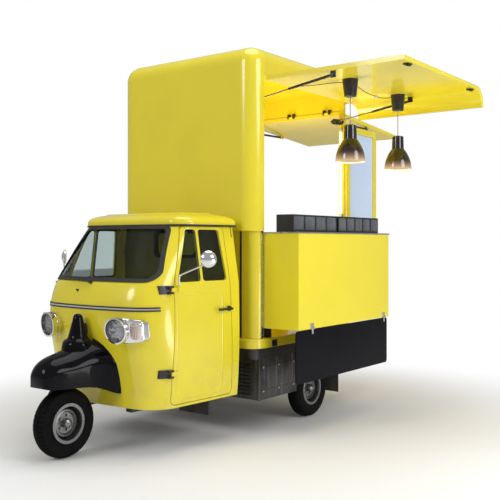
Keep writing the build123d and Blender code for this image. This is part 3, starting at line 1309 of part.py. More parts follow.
with BuildPart() as fixed_hardware:
    add(hinge_covers.part)
    for y in AWNING_HINGES:
        for a, b in ((y - KNUCKLE, y - KNUCKLE / 2 - SEAT), (y + KNUCKLE / 2 + SEAT, y + KNUCKLE)):
            rod_y(a, b, AWNING_X, AWNING_Z, HINGE_R)
            block(AWNING_X - 6, AWNING_X + 4, a, b, AWNING_Z, SPLIT_Z)
        rod_y(y - KNUCKLE, y + KNUCKLE, AWNING_X, AWNING_Z, PIN_R)
    for x in FLAP_HINGES:
        for a, b in ((x - KNUCKLE, x - KNUCKLE / 2 - SEAT), (x + KNUCKLE / 2 + SEAT, x + KNUCKLE)):
            rod_x(a, b, FLAP_Y, FLAP_Z, HINGE_R)
            block(a, b, FLAP_Y - 6, FLAP_Y + 6, FLAP_Z, HEADER_Z0 + 22)
            block(a, b, FLAP_Y - 6, BOX_Y1 - WALL, HEADER_Z0 + 4, HEADER_Z0 + 22)
        rod_x(x - KNUCKLE, x + KNUCKLE, FLAP_Y, FLAP_Z, PIN_R)
    base_x = AWNING_X + STRUT_BASE[0]
    rod_y(JAMB_Y - 3, STRUT_YS[0] + 10, base_x, STRUT_ZS[0], STUD_R)
    rod_y(JAMB_Y - 3, JAMB_Y + 5, base_x, STRUT_ZS[0], 24)
    rod_y(STRUT_YS[1] - 10, POST_Y, base_x, STRUT_ZS[0], STUD_R)
    rod_y(STRUT_YS[1] + 30, POST_Y, base_x, STRUT_ZS[0], 13)
    base_y, base_z = FLAP_Y + FLAP_BASE[0], FLAP_Z + FLAP_BASE[1]
    for side, wall_y in ((1, POST_Y), (-1, BOX_Y1 - WALL)):
        a, b = sorted((side * (FLAP_XS[1] - 10), side * (FLAP_XS[1] + 20)))
        rod_x(a, b, base_y, base_z, STUD_R)
        a, b = sorted((side * (FLAP_XS[1] + 14), side * (POST_X0 + 20)))
        block(a, b, base_y - 18, base_y + 58, base_z - 24, base_z + 24)
        a, b = sorted((side * (POST_X0 + 3), side * (POST_X0 + 40)))
        block(a, b, base_y + 50, wall_y, base_z - 24, base_z + 24)
    for z in PLATE_ZS:
        block(POST_X0, POST_X0 + 12, POST_Y + POST_D, DOOR_AXIS_Y, z - 15, z + 15)
        rod_z(z - 15, z + 15, DOOR_AXIS_X, DOOR_AXIS_Y, 11)
        rod_z(z - 42, z + 42, DOOR_AXIS_X, DOOR_AXIS_Y, STUD_R)
    for y in RAIL_YS:
        block(COUNTER_IN - 420, BOX_HALF - 24, y - 20, y + 20, PLINTH_Z1, COUNTER_Z0 - SEAT)
keep(fixed_hardware, "fixed_hardware")

with BuildPart() as power_inlet:
    block(BOX_HALF, BOX_HALF + 5, INLET_Y - 36, INLET_Y + 36, PLINTH_Z0 + 4, PLINTH_Z1 - 18)
    fillet(power_inlet.edges().filter_by(Axis.X), 8)
    rod_x(BOX_HALF - 2, BOX_HALF + 6, INLET_Y, (PLINTH_Z0 + PLINTH_Z1) / 2 - 7, 20, mode=Mode.SUBTRACT)
    block(BOX_HALF, BOX_HALF + 2, INLET_Y - 30, INLET_Y + 30, PLINTH_Z0 + 8, PLINTH_Z1 - 22)
keep(power_inlet, "power_inlet")
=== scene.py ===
"""A three-wheel electric food van on its CAD frame: paint, glass, rubber, wheels, lamps and stage."""

import math

import bmesh
import bpy
from bpy.props import FloatProperty, FloatVectorProperty, IntProperty, PointerProperty
from mathutils import Matrix, Vector


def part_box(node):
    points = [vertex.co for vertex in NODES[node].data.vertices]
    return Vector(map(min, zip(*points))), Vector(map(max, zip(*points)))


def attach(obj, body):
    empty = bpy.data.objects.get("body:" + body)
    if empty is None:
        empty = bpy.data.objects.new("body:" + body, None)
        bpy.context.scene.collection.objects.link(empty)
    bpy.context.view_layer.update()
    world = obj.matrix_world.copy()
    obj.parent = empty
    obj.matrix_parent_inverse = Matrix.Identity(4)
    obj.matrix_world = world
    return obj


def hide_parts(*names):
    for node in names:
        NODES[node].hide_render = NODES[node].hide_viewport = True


bl_info = {
    "name": "Street food van",
    "version": (1, 0, 0),
    "blender": (4, 5, 0),
    "location": "3D View > Sidebar > Food van",
    "description": "Paints and details a three-wheel food van built around its CAD frame",
    "category": "Object",
}

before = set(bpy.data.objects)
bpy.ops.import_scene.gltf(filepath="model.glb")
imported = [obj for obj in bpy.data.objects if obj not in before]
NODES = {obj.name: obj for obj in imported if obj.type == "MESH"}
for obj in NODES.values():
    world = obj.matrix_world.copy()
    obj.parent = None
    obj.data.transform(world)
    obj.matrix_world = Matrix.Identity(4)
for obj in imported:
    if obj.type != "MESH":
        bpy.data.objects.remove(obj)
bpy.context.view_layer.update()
SIDES = (("left", 1), ("right", -1))


def middle(node):
    """The middle of a CAD node's box."""
    low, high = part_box(node)
    return (low + high) / 2


def hub_of(wheel):
    """The middle of a wheel: across from its tyre, and on its rim's axle."""
    tyre, rim = middle(f"{wheel}_tyre"), middle(f"{wheel}_rim")
    return Vector((tyre.x, rim.y, rim.z))


# Places read from the frame
TRIM_Z = middle("front_trim").z
SHADES_LOW, SHADES_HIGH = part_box("lamp_shades")
SHADE_R = (SHADES_HIGH.x - SHADES_LOW.x) / 2
LAMP_X = (SHADES_LOW.x + SHADES_HIGH.x) / 2
LAMP_YS = (SHADES_LOW.y + SHADE_R, SHADES_HIGH.y - SHADE_R)


def tint(name, description, default):
    """A colour that the panel shows."""
    return FloatVectorProperty(name=name, description=description, subtype="COLOR", default=default)


def metres(name, description, default):
    """A length that the panel shows."""
    return FloatProperty(name=name, description=description, unit="LENGTH", default=default)


class VanColours(bpy.types.PropertyGroup):
    """Colours of the van's finishes."""

    body: tint("Bodywork", "Gel coat of the cab, box and leaves", (0.78, 0.655, 0.028))
    black: tint("Black gloss", "Mudguard, skirt and lamp shades", (0.003, 0.003, 0.0045))
    satin: tint("Black satin", "Frame, hinges and fittings", (0.014, 0.014, 0.016))
    rubber: tint("Rubber", "Window rubbers, strips, mudflaps and grips", (0.011, 0.011, 0.011))
    tyre: tint("Tyre", "Tyre rubber", (0.004, 0.004, 0.0042))
    steel: tint("Steel", "Counter top and bolts", (0.52, 0.52, 0.53))
    case: tint("Case", "Weathered zinc of the battery case", (0.105, 0.103, 0.108))
    glass: tint("Glass", "Window glass", (0.62, 0.69, 0.68))
    # The rear pane's colour is a painted sky reflection on an opaque pane
    sky_pane: tint("Rear pane", "Rear door's frosted pane", (0.60, 0.72, 0.93))
    vinyl: tint("Seat vinyl", "Bench cover", (0.018, 0.018, 0.02))


class VanSizes(bpy.types.PropertyGroup):
    """Sizes of the details that are modelled here."""

    tread_pitches: IntProperty(name="Tread pitches", description="Blocks round a tyre", default=44, min=12)
    tread_depth: metres("Tread depth", "Depth of the cross grooves", 0.006)
    lead_radius: metres("Lead radius", "Lamp lead's radius", 0.003)
    cord_radius: metres("Cord radius", "Pendant cord's radius", 0.004)


# Node helpers


def set_all(thing, **values):
    """Set some of a thing's attributes. Returns it."""
    for name, value in values.items():
        setattr(thing, name, value)
    return thing


def add_node(tree, kind, **values):
    """A new shader node with some of its attributes set."""
    return set_all(tree.nodes.new(kind), **values)


def feed(value, socket):
    """Give an input socket a shader value, a colour or a number."""
    if isinstance(value, Value):
        value.tree.links.new(value.socket, socket)
    elif socket.type == "RGBA":
        socket.default_value = (*value[:3], 1.0)
    else:
        socket.default_value = value


def maths(operation, *terms, clamp=False):
    """A Math node on shader values and numbers."""
    tree = next(term.tree for term in terms if isinstance(term, Value))
    node = add_node(tree, "ShaderNodeMath", operation=operation, use_clamp=clamp)
    for term, socket in zip(terms, node.inputs):
        feed(term, socket)
    return Value(node.outputs[0])


def maths_method(operation):
    """A method that adds one kind of Math node."""
    return lambda *terms: maths(operation, *terms)


class Value:
    """What an output socket gives. Sums on it add Math nodes to its tree."""

    def __init__(self, socket):
        self.socket = socket
        self.tree = socket.id_data

    def __rsub__(self, other):
        return maths("SUBTRACT", other, self)

    __add__ = maths_method("ADD")
    __sub__ = maths_method("SUBTRACT")
    __mul__ = maths_method("MULTIPLY")
    __truediv__ = maths_method("DIVIDE")
    __pow__ = maths_method("POWER")
    __abs__ = maths_method("ABSOLUTE")
    __lt__ = maths_method("LESS_THAN")
    __gt__ = maths_method("GREATER_THAN")


def distance(a, b):
    """The distance that two offsets at right angles make."""
    return maths("SQRT", a**2.0 + b**2.0)


def ramp(value, low, high, smooth=True, ends=(0.0, 1.0), clamp=True):
    """A value run from one end at low to the other at high."""
    kind = "SMOOTHSTEP" if smooth else "LINEAR"
    node = add_node(value.tree, "ShaderNodeMapRange", interpolation_type=kind, clamp=clamp)
    places = {"Value": value, "From Min": low, "From Max": high, "To Min": ends[0], "To Max": ends[1]}
    for label, place in places.items():
        feed(place, node.inputs[label])
    return Value(node.outputs[0])


def band(value, edges):
    """1 between the inner two of four edges, and 0 outside the outer two."""
    return maths("SUBTRACT", ramp(value, *edges[:2]), ramp(value, *edges[2:]), clamp=True)


def waves(axis, pitch):
    """A sine along an axis."""
    return maths("SINE", axis * (2 * math.pi / pitch))


def mix_colour(factor, a, b):
    """A colour between a and b."""
    node = add_node(factor.tree, "ShaderNodeMix", data_type="RGBA")
    feed(factor, node.inputs["Factor"])
    for name, value in (("A", a), ("B", b)):
        feed(value, next(s for s in node.inputs if s.name == name and s.type == "RGBA"))
    return Value(next(s for s in node.outputs if s.type == "RGBA"))


def surface_place(tree):
    """The surface's own place, in metres."""
    return Value(add_node(tree, "ShaderNodeTexCoord").outputs["Object"])


def place_axes(owner):
    """The surface's own X, Y and Z, in a material or a group."""
    tree = getattr(owner, "node_tree", owner)
    split = add_node(tree, "ShaderNodeSeparateXYZ")
    feed(surface_place(tree), split.inputs[0])
    return [Value(socket) for socket in split.outputs]


def noise(tree, scale, detail, stretch=(1, 1, 1)):
    """Noise on the surface's own place."""
    mapping = add_node(tree, "ShaderNodeMapping")
    feed(surface_place(tree), mapping.inputs["Vector"])
    feed(stretch, mapping.inputs["Scale"])
    texture = add_node(tree, "ShaderNodeTexNoise")
    feed(Value(mapping.outputs[0]), texture.inputs["Vector"])
    feed(scale, texture.inputs["Scale"])
    feed(detail, texture.inputs["Detail"])
    return Value(texture.outputs["Fac"])


def named(sockets):
    """Output sockets' values by their names."""
    return {socket.name: Value(socket) for socket in sockets}


def new_group(name, inputs, outputs):
    """A shader group, with what it is given and its outlets. Colours and numbers stand for its sockets."""
    group = bpy.data.node_groups.new(name, "ShaderNodeTree")
    for in_out, sockets in (("INPUT", inputs), ("OUTPUT", outputs)):
        for label, default in sockets.items():
            kind = "NodeSocketColor" if isinstance(default, tuple) else "NodeSocketFloat"
            socket = group.interface.new_socket(label.replace("_", " "), in_out=in_out, socket_type=kind)
            socket.default_value = default
    given = named(group.nodes.new("NodeGroupInput").outputs)
    return group, given, group.nodes.new("NodeGroupOutput").inputs


GREY = (0.5, 0.5, 0.5, 1)
DARK_GREY = (0.4, 0.4, 0.4, 1)
DUST = (0.2, 0.17, 0.13, 1)
PATCH_EDGE = (0.35, 0.65)
DUST_SCALE = 9.0
DUST_EDGE = (0.3, 0.75)
DUST_ROUGHNESS = 0.5
GRAIN_DEPTH = 0.002


def variation_group():
    """Shared effect: a slow drift of colour and roughness, and a fine grain for the bump."""
    values = dict(Amount=0.5, Patch_scale=3.0, Grain_scale=400.0, Roughness=0.4, Roughness_spread=0.1)
    inputs = dict(Colour=GREY, Second_colour=DARK_GREY, **values)
    outputs = dict(Colour=GREY, Roughness=0.0, Grain=0.0)
    group, given, out = new_group("surface_variation", inputs, outputs)
    patch = ramp(noise(group, given["Patch scale"], detail=4), *PATCH_EDGE)
    feed(mix_colour(patch * given["Amount"], given["Colour"], given["Second colour"]), out["Colour"])
    drift = (patch - 0.5) * given["Roughness spread"]
    feed(maths("ADD", given["Roughness"], drift, clamp=True), out["Roughness"])
    feed(noise(group, given["Grain scale"], detail=2), out["Grain"])


def grime_group():
    """Shared effect: road dust that fades out with height and breaks up in patches."""
    inputs = dict(Colour=GREY, Dust=DUST, Fade_height=0.6, Amount=0.3)
    group, given, out = new_group("road_grime", inputs, dict(Colour=GREY, Mask=0.0))
    low = maths("SUBTRACT", 1.0, place_axes(group)[2] / given["Fade height"], clamp=True)
    broken = low * ramp(noise(group, DUST_SCALE, detail=5), *DUST_EDGE)
    mask = maths("MULTIPLY", broken, given["Amount"], clamp=True)
    feed(mix_colour(mask, given["Colour"], given["Dust"]), out["Colour"])
    feed(mask, out["Mask"])


def place_group(tree, name, **values):
    """Put a shared effect into a material, with its own values."""
    node = add_node(tree, "ShaderNodeGroup", node_tree=bpy.data.node_groups[name])
    for label, value in values.items():
        feed(value, node.inputs[label.replace("_", " ")])
    return named(node.outputs)


def shaded(colour, factor):
    """A colour made darker or lighter."""
    return tuple(min(1.0, c * factor) for c in colour)


def colour_of(spec):
    """The colour that a look gives: three numbers, a panel's colour, or that and a factor."""
    if isinstance(spec, str):
        return tuple(getattr(bpy.context.scene.van_colours, spec))
    return shaded(colour_of(spec[0]), spec[1]) if isinstance(spec[0], str) else spec


def add_relief(height, strength, distance):
    """The normal of a raised pattern."""
    relief = add_node(height.tree, "ShaderNodeBump")
    for label, value in (("Strength", strength), ("Distance", distance), ("Height", height)):
        feed(value, relief.inputs[label])
    return Value(relief.outputs[0])


def look(colour, second, drift, rough, grain, dust=None, **sockets):
    """How a finish looks.

    second is the colour that the first drifts to, or a factor on it, and drift is its share and the
    patches' scale. rough is the roughness and its spread, grain the relief's scale and strength, and dust
    the share of road dust and the height where it ends. The rest are the shader's sockets.
    """
    return colour, second, drift, rough, grain, dust, sockets


GEL_RELIEF = 0.012
GEL_COAT = dict(rough=(0.22, 0.06), Coat_Weight=0.35, Coat_Roughness=0.06)
LOOKS = {
    "body_gel_coat": look(
        "body", 0.93, drift=(0.6, 2.2), grain=(260, GEL_RELIEF), dust=(0.22, 0.8), **GEL_COAT
    ),
    "counter_gel_coat": look(("body", 1.06), "body", drift=(0.6, 1.8), grain=(280, GEL_RELIEF), **GEL_COAT),
    "leaf_gel_coat": look("body", 1.08, drift=(0.6, 1.6), grain=(300, GEL_RELIEF), **GEL_COAT),
    "cab_paint": look(
        "body", 0.92, drift=(0.6, 2.8), grain=(320, GEL_RELIEF), dust=(0.35, 0.75), **GEL_COAT
    ),
    "door_paint": look(
        "body", 0.93, drift=(0.6, 2.8), grain=(320, GEL_RELIEF), dust=(0.35, 0.75), **GEL_COAT
    ),
    "black_gloss": look(
        "black", 1.8, drift=(0.5, 5), rough=(0.06, 0.04), grain=(240, 0.008), Specular_IOR_Level=0.12
    ),
    "skirt_gloss": look(
        "black", (0.005, 0.0055, 0.009), drift=(0.7, 2.5), rough=(0.12, 0.06), grain=(180, 0.015),
        Specular_IOR_Level=0.06,
    ),
    "black_fitting": look("satin", 1.8, drift=(0.6, 22), rough=(0.38, 0.15), grain=(900, 0.06)),
    "frame_paint": look(
        "satin", (0.04, 0.036, 0.032), drift=(0.6, 6), rough=(0.5, 0.2), grain=(420, 0.12),
        dust=(0.5, 0.75),
    ),
    "rubber_seal": look("rubber", 2.4, drift=(0.6, 14), rough=(0.55, 0.15), grain=(700, 0.08)),
    "rubber_flap": look(
        "rubber", 3, drift=(0.7, 8), rough=(0.68, 0.15), grain=(300, 0.15), dust=(0.5, 0.5)
    ),
    "cab_floor_mat": look(
        (0.03, 0.03, 0.032), (0.05, 0.05, 0.05), drift=(0.6, 9), rough=(0.75, 0.1), grain=(160, 0.4)
    ),
    "caddy_plastic": look(
        (0.016, 0.016, 0.018), (0.03, 0.03, 0.034), drift=(0.5, 7), rough=(0.3, 0.1), grain=(600, 0.05),
        Specular_IOR_Level=0.3,
    ),
    "chrome": look(
        (0.82, 0.82, 0.83), (0.7, 0.7, 0.71), drift=(0.5, 18), rough=(0.06, 0.05), grain=(300, 0.01),
        Metallic=1.0,
    ),
    "rim_silver": look(
        (0.25, 0.255, 0.265), (0.18, 0.18, 0.185), drift=(0.6, 16), rough=(0.3, 0.12), grain=(500, 0.05),
        dust=(0.25, 0.6), Metallic=0.85,
    ),
    "strut_rod_steel": look(
        (0.1, 0.1, 0.105), (0.06, 0.06, 0.06), drift=(0.5, 30), rough=(0.22, 0.08), grain=(500, 0.02),
        Metallic=0.9,
    ),
    "strut_tube_paint": look(
        (0.012, 0.012, 0.013), (0.03, 0.03, 0.03), drift=(0.5, 20), rough=(0.3, 0.1), grain=(700, 0.03)
    ),
    "brushed_top": look("steel", 0.75, drift=(0.6, 6), rough=(0.3, 0.16), grain=(900, 0.05), Metallic=1.0),
    "weathered_zinc": look(
        "case", 0.45, drift=(0.8, 5), rough=(0.46, 0.2), grain=(260, 0.12), dust=(0.3, 0.5), Metallic=0.75
    ),
    "trim_rubber": look(
        (0.012, 0.012, 0.012), (0.025, 0.025, 0.025), drift=(0.5, 30), rough=(0.4, 0.1), grain=(500, 0.03)
    ),
    "window_glass": look(
        "glass", 0.94, drift=(0.5, 3), rough=(0.03, 0.03), grain=(90, 0.004), Transmission_Weight=1.0,
        IOR=1.12,
    ),
    # Painted reflection: the rear pane is opaque, and its pale blue stands in for the sky that glass would
    # reflect
    "rear_pane": look(
        "sky_pane", (0.54, 0.67, 0.9), drift=(0.6, 1.6), rough=(0.16, 0.08), grain=(60, 0.01)
    ),
    "tail_lens": look(
        (0.42, 0.01, 0.008), (0.3, 0.005, 0.005), drift=(0.5, 40), rough=(0.12, 0.05), grain=(300, 0.03),
        Coat_Weight=0.5,
    ),
    "lamp_lens": look(
        (0.9, 0.92, 0.93), (0.8, 0.83, 0.85), drift=(0.4, 20), rough=(0.03, 0.02), grain=(90, 0.01),
        Transmission_Weight=0.92, IOR=1.32,
    ),
    "tyre_rubber": look(
        "tyre", 2.2, drift=(0.6, 12), rough=(0.6, 0.16), grain=(500, 0.1), dust=(0.02, 0.3),
        Specular_IOR_Level=0.05,
    ),
    "bench_vinyl": look("vinyl", 1.8, drift=(0.6, 8), rough=(0.42, 0.12), grain=(260, 0.25)),
    "lead_sheath": look(
        (0.012, 0.012, 0.013), (0.03, 0.03, 0.03), drift=(0.5, 60), rough=(0.45, 0.12), grain=(900, 0.06)
    ),
    "pendant_sheath": look(
        (0.42, 0.38, 0.31), (0.3, 0.27, 0.22), drift=(0.6, 60), rough=(0.6, 0.12), grain=(900, 0.1)
    ),
    "connector_plastic": look(
        (0.62, 0.61, 0.58), (0.5, 0.49, 0.46), drift=(0.5, 40), rough=(0.4, 0.1), grain=(600, 0.04)
    ),
    # Its emission colour is the painted glow of the shade's liner and rim
    "shade_enamel": look(
        "black", 2, drift=(0.5, 20), rough=(0.14, 0.08), grain=(300, 0.02), Coat_Weight=0.4,
        Emission_Color=(1.0, 0.72, 0.42),
    ),
    "lit_bulb": look(
        (1.0, 0.86, 0.62), (1.0, 0.8, 0.5), drift=(0.6, 30), rough=(0.2, 0.1), grain=(200, 0.01),
        Emission_Color=(1.0, 0.78, 0.45), Emission_Strength=4.0,
    ),
    "window_bead": look("rubber", 2.2, drift=(0.6, 30), rough=(0.5, 0.14), grain=(700, 0.06)),
    "mirror_glass": look(
        (0.86, 0.88, 0.9), (0.8, 0.82, 0.84), drift=(0.4, 30), rough=(0.02, 0.02), grain=(90, 0.002),
        Metallic=1.0,
    ),
    "caddy_pane": look(
        (0.075, 0.083, 0.1), (0.11, 0.12, 0.14), drift=(0.7, 5), rough=(0.16, 0.1), grain=(200, 0.02),
        Coat_Weight=0.3,
    ),
    "strip_rubber": look("rubber", 2, drift=(0.6, 20), rough=(0.5, 0.14), grain=(600, 0.06)),
    "strip_metal": look(
        (0.6, 0.6, 0.6), (0.45, 0.45, 0.45), drift=(0.5, 18), rough=(0.25, 0.12), grain=(700, 0.03),
        Metallic=1.0,
    ),
    "lit_tube": look(
        (1.0, 0.95, 0.82), (1.0, 0.92, 0.76), drift=(0.5, 12), rough=(0.3, 0.1), grain=(200, 0.01),
        Emission_Color=(1.0, 0.94, 0.8), Emission_Strength=1.1,
    ),
    "tube_cap": look(
        (0.55, 0.55, 0.54), (0.4, 0.4, 0.4), drift=(0.5, 20), rough=(0.35, 0.1), grain=(500, 0.03)
    ),
    "bolt_steel": look("steel", 0.6, drift=(0.6, 30), rough=(0.3, 0.14), grain=(700, 0.05), Metallic=1.0),
    "jet_plastic": look("satin", 1.6, drift=(0.5, 40), rough=(0.4, 0.1), grain=(600, 0.04)),
    "floor_paint": look(
        (0.9, 0.9, 0.9), (0.87, 0.87, 0.87), drift=(0.3, 0.6), rough=(0.75, 0.05), grain=(40, 0.01)
    ),
}


def finish(kind, name=None):
    """A new material with one of the looks."""
    colour, second, drift, rough, grain, dust, sockets = LOOKS[kind]
    material = bpy.data.materials.new(name or kind)
    material.use_nodes = True
    tree = material.node_tree
    colour = colour_of(colour)
    second = shaded(colour, second) if isinstance(second, (int, float)) else colour_of(second)
    surface = place_group(
        tree, "surface_variation", Colour=colour, Second_colour=second, Amount=drift[0],
        Patch_scale=drift[1], Roughness=rough[0], Roughness_spread=rough[1], Grain_scale=grain[0],
    )
    paint, dull = surface["Colour"], surface["Roughness"]
    if dust:
        dirt = place_group(tree, "road_grime", Colour=paint, Amount=dust[0], Fade_height=dust[1])
        paint = dirt["Colour"]
        dull = maths("ADD", dull, dirt["Mask"] * DUST_ROUGHNESS, clamp=True)
    relief = add_relief(surface["Grain"], grain[1], GRAIN_DEPTH)
    feed_shader(material, Base_Color=paint, Roughness=dull, Normal=relief, **sockets)
    return material


def shader_of(material):
    """A material's Principled shader."""
    return material.node_tree.nodes["Principled BSDF"]


def feed_shader(material, **values):
    """Give the sockets of a material's shader their values."""
    for label, value in values.items():
        feed(value, shader_of(material).inputs[label.replace("_", " ")])


def overlay(material, mask, colour, roughness=None):
    """Lay a second colour over a material where a mask is 1."""
    inputs = shader_of(material).inputs
    under, old = (Value(inputs[label].links[0].from_socket) for label in ("Base Color", "Roughness"))
    feed_shader(material, Base_Color=mix_colour(mask, under, colour))
    if roughness is not None:
        feed_shader(material, Roughness=old + mask * (roughness - old))


def emboss(material, height, strength, distance):
    """Add a pressed shape to a material's relief, under its grain."""
    grain = next(n for n in material.node_tree.nodes if n.bl_idname == "ShaderNodeBump")
    feed(add_relief(height, strength, distance), grain.inputs["Normal"])


def clothe(material, *names):
    """Give CAD nodes one material."""
    for name in names:
        mesh = NODES[name].data
        mesh.materials.clear()
        mesh.materials.append(material)


# Mesh helpers

SHARP_EDGE = math.radians(38)


def add_object(name, data):
    """A new object in the scene."""
    piece = bpy.data.objects.new(name, data)
    bpy.context.scene.collection.objects.link(piece)
    return piece


def new_mesh(bm, name):
    """A new mesh from a bmesh, which is freed."""
    mesh = bpy.data.meshes.new(name)
    bm.to_mesh(mesh)
    bm.free()
    return mesh


def to_object(bm, name, material, body, replaces=()):
    """Turn a bmesh into a finished piece that rides a body."""
    mesh = new_mesh(bm, name)
    mesh.shade_smooth()
    mesh.materials.append(material)
    piece = add_object(name, mesh)
    mesh.set_sharp_from_angle(angle=SHARP_EDGE)
    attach(piece, body)
    if replaces:
        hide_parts(*replaces)
    return piece


def bevelled(bm, width, segments=2, limit=40):
    """Round the sharper edges of a bmesh."""
    edges = [e for e in bm.edges if e.is_manifold and e.calc_face_angle(0) > math.radians(limit)]
    bmesh.ops.bevel(
        bm, geom=edges, offset=width, offset_type="OFFSET", segments=segments, profile=0.5, affect="EDGES",
        material=-1,
    )


def add_block(bm, low, high):
    """A box between two corners, in an open bmesh."""
    low, high = Vector(low), Vector(high)
    matrix = Matrix.Translation((low + high) / 2) @ Matrix.Diagonal((*(high - low), 1))
    bmesh.ops.create_cube(bm, size=1.0, matrix=matrix)


def blocks(name, boxes, material, body, *, edge):
    """A piece made of round-edged boxes, each given by two corners."""
    bm = bmesh.new()
    for low, high in boxes:
        add_block(bm, low, high)
    bevelled(bm, edge)
    return to_object(bm, name, material, body)


def spun(bm, points, centre, axis, steps):
    """A profile of (distance along the axis, distance from it) turned right round, in an open bmesh."""
    axis = Vector(axis).normalized()
    side = axis.orthogonal().normalized()
    verts = [bm.verts.new(Vector(centre) + axis * a + side * r) for a, r in points]
    edges = [bm.edges.new(pair) for pair in zip(verts, verts[1:])]
    bmesh.ops.spin(
        bm, geom=verts + edges, cent=Vector(centre), axis=axis, angle=2 * math.pi, steps=steps,
        use_merge=True, use_duplicate=False,
    )
    bmesh.ops.remove_doubles(bm, verts=bm.verts, dist=1e-5)
    bmesh.ops.recalc_face_normals(bm, faces=bm.faces)


def turned(name, profile, spots, material, body, steps=24):
    """A piece with one profile turned at each of some (centre, axis)."""
    bm = bmesh.new()
    for centre, axis in spots:
        spun(bm, profile, centre, axis, steps)
    return to_object(bm, name, material, body)


def merged_bmesh(node):
    """A CAD node's mesh as a bmesh, its loose triangles joined."""
    bm = bmesh.new()
    bm.from_mesh(NODES[node].data)
    bmesh.ops.remove_doubles(bm, verts=bm.verts, dist=1e-6)
    return bm


def select_only(piece):
    """Make one object the active and selected one."""
    for other in bpy.context.selected_objects:
        other.select_set(False)
    piece.select_set(True)
    bpy.context.view_layer.objects.active = piece


# Pieces, in the order in which they are made


class VAN_OT_effects(bpy.types.Operator):
    """Build the shared shader effects"""

    bl_idname = "van.effects"
    bl_label = "Shared effects"

    def execute(self, context):
        variation_group()
        grime_group()
        return {"FINISHED"}


DOOR_PRESSING = ((0.53, 0.395), (1.01, 1.165))
PRESS_CORNER = 0.06
PRESS_WIDTH = 0.012


def rounded_rectangle(a, b, low, high, corner):
    """Signed distance, in metres, from a rounded rectangle on two axes; negative inside."""
    parts = []
    for axis, lo, hi in ((a, low[0], high[0]), (b, low[1], high[1])):
        parts.append(maths("MAXIMUM", abs(axis - (lo + hi) / 2) - ((hi - lo) / 2 - corner), 0.0))
    return distance(*parts) - corner


CAB_SKIN = 0.022
CAB_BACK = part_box("cab_shell")[1].y - CAB_SKIN
# Painted shade: the inside face of the cab's back wall is painted dark olive for the shade inside the cab
CAB_BACK_SHADE = (0.16, 0.13, 0.02)
CAB_BACK_SHADE_HALF = 0.60
CAB_BACK_SHADE_DEPTH = 0.006


class VAN_OT_bodywork(bpy.types.Operator):
    """Paint the cab, box, leaves and counter in gloss gel coat, with painted shade inside the cab's back
    wall
    """

    bl_idname = "van.bodywork"
    bl_label = "Bodywork"

    def execute(self, context):
        clothe(finish("body_gel_coat"), "box_roof", "box_walls", "cab_roof", "lower_body")
        drawer = finish("counter_gel_coat")
        hinges_to_chrome(drawer)
        clothe(drawer, "counter_box")
        clothe(finish("leaf_gel_coat"), "awning_panel", "rear_flap", "rear_door")
        cab = finish("cab_paint")
        axes = place_axes(cab)
        # Painted shade on the inside face of the cab's back wall
        behind = abs(axes[1] - CAB_BACK) < CAB_BACK_SHADE_DEPTH
        overlay(cab, behind * (abs(axes[0]) < CAB_BACK_SHADE_HALF), CAB_BACK_SHADE, roughness=0.6)
        clothe(cab, "cab_shell")
        door = finish("door_paint")
        axes = place_axes(door)
        edge = rounded_rectangle(axes[1], axes[2], *DOOR_PRESSING, PRESS_CORNER)
        rib = 1.0 - ramp(abs(edge), 0.0, PRESS_WIDTH)
        emboss(door, rib, strength=0.7, distance=0.004)
        clothe(door, "left_door", "right_door")
        return {"FINISHED"}


COUNTER_FACE = 1.0712


def hinges_to_chrome(material):
    """Turn what stands proud of the counter's face to bright metal."""
    proud = place_axes(material)[0] > COUNTER_FACE
    overlay(material, proud, (0.75, 0.75, 0.76), roughness=0.16)
    feed_shader(material, Metallic=proud)


NOSE_AXIS = Vector((0.0, 0.128, 0.0))
NOSE_PROFILE = (
    (0.690, 0.124), (0.745, 0.121), (0.785, 0.1165), (0.808, 0.112), (0.824, 0.104), (0.834, 0.091),
    (0.840, 0.080), (0.848, 0.0735), (0.862, 0.0685), (0.890, 0.0610), (0.940, 0.0480), (0.985, 0.0375),
    (1.005, 0.0320), (1.016, 0.0225), (1.0205, 0.0110), (1.0215, 0.0),
)
NOSE_CUT = (Vector((0.0, 0.2080, 1.0)), Vector((0.0, 0.263, -0.035)))
RISER_HALF = 0.0485
COLLAR_R = 0.1125
COLLAR_FOOT = 0.70
RISER_FOOT = 0.76


def build_mudguard(material):
    """The mudguard with its nose drawn down in one soft-stepped cone."""
    bm = merged_bmesh("front_mudguard")
    bmesh.ops.recalc_face_normals(bm, faces=bm.faces)

    def on_nose(vert):
        return vert.co.z > COLLAR_FOOT and (vert.co - NOSE_AXIS).xy.length < COLLAR_R

    def on_riser(vert):
        return vert.co.z > RISER_FOOT and abs(vert.co.x) < RISER_HALF and vert.co.y > NOSE_AXIS.y

    old = [f for f in bm.faces if all(on_nose(v) or on_riser(v) for v in f.verts)]
    bmesh.ops.delete(bm, geom=old, context="FACES")
    cone = bmesh.new()
    spun(cone, NOSE_PROFILE, NOSE_AXIS, (0, 0, 1), steps=96)
    place, normal = NOSE_CUT
    everything = cone.verts[:] + cone.edges[:] + cone.faces[:]
    bmesh.ops.bisect_plane(
        cone, geom=everything, dist=1e-6, plane_co=place, plane_no=normal, clear_outer=True
    )
    mesh = new_mesh(cone, "nose")
    bm.from_mesh(mesh)
    bpy.data.meshes.remove(mesh)
    to_object(bm, "mudguard", material, "van", ("front_mudguard",))


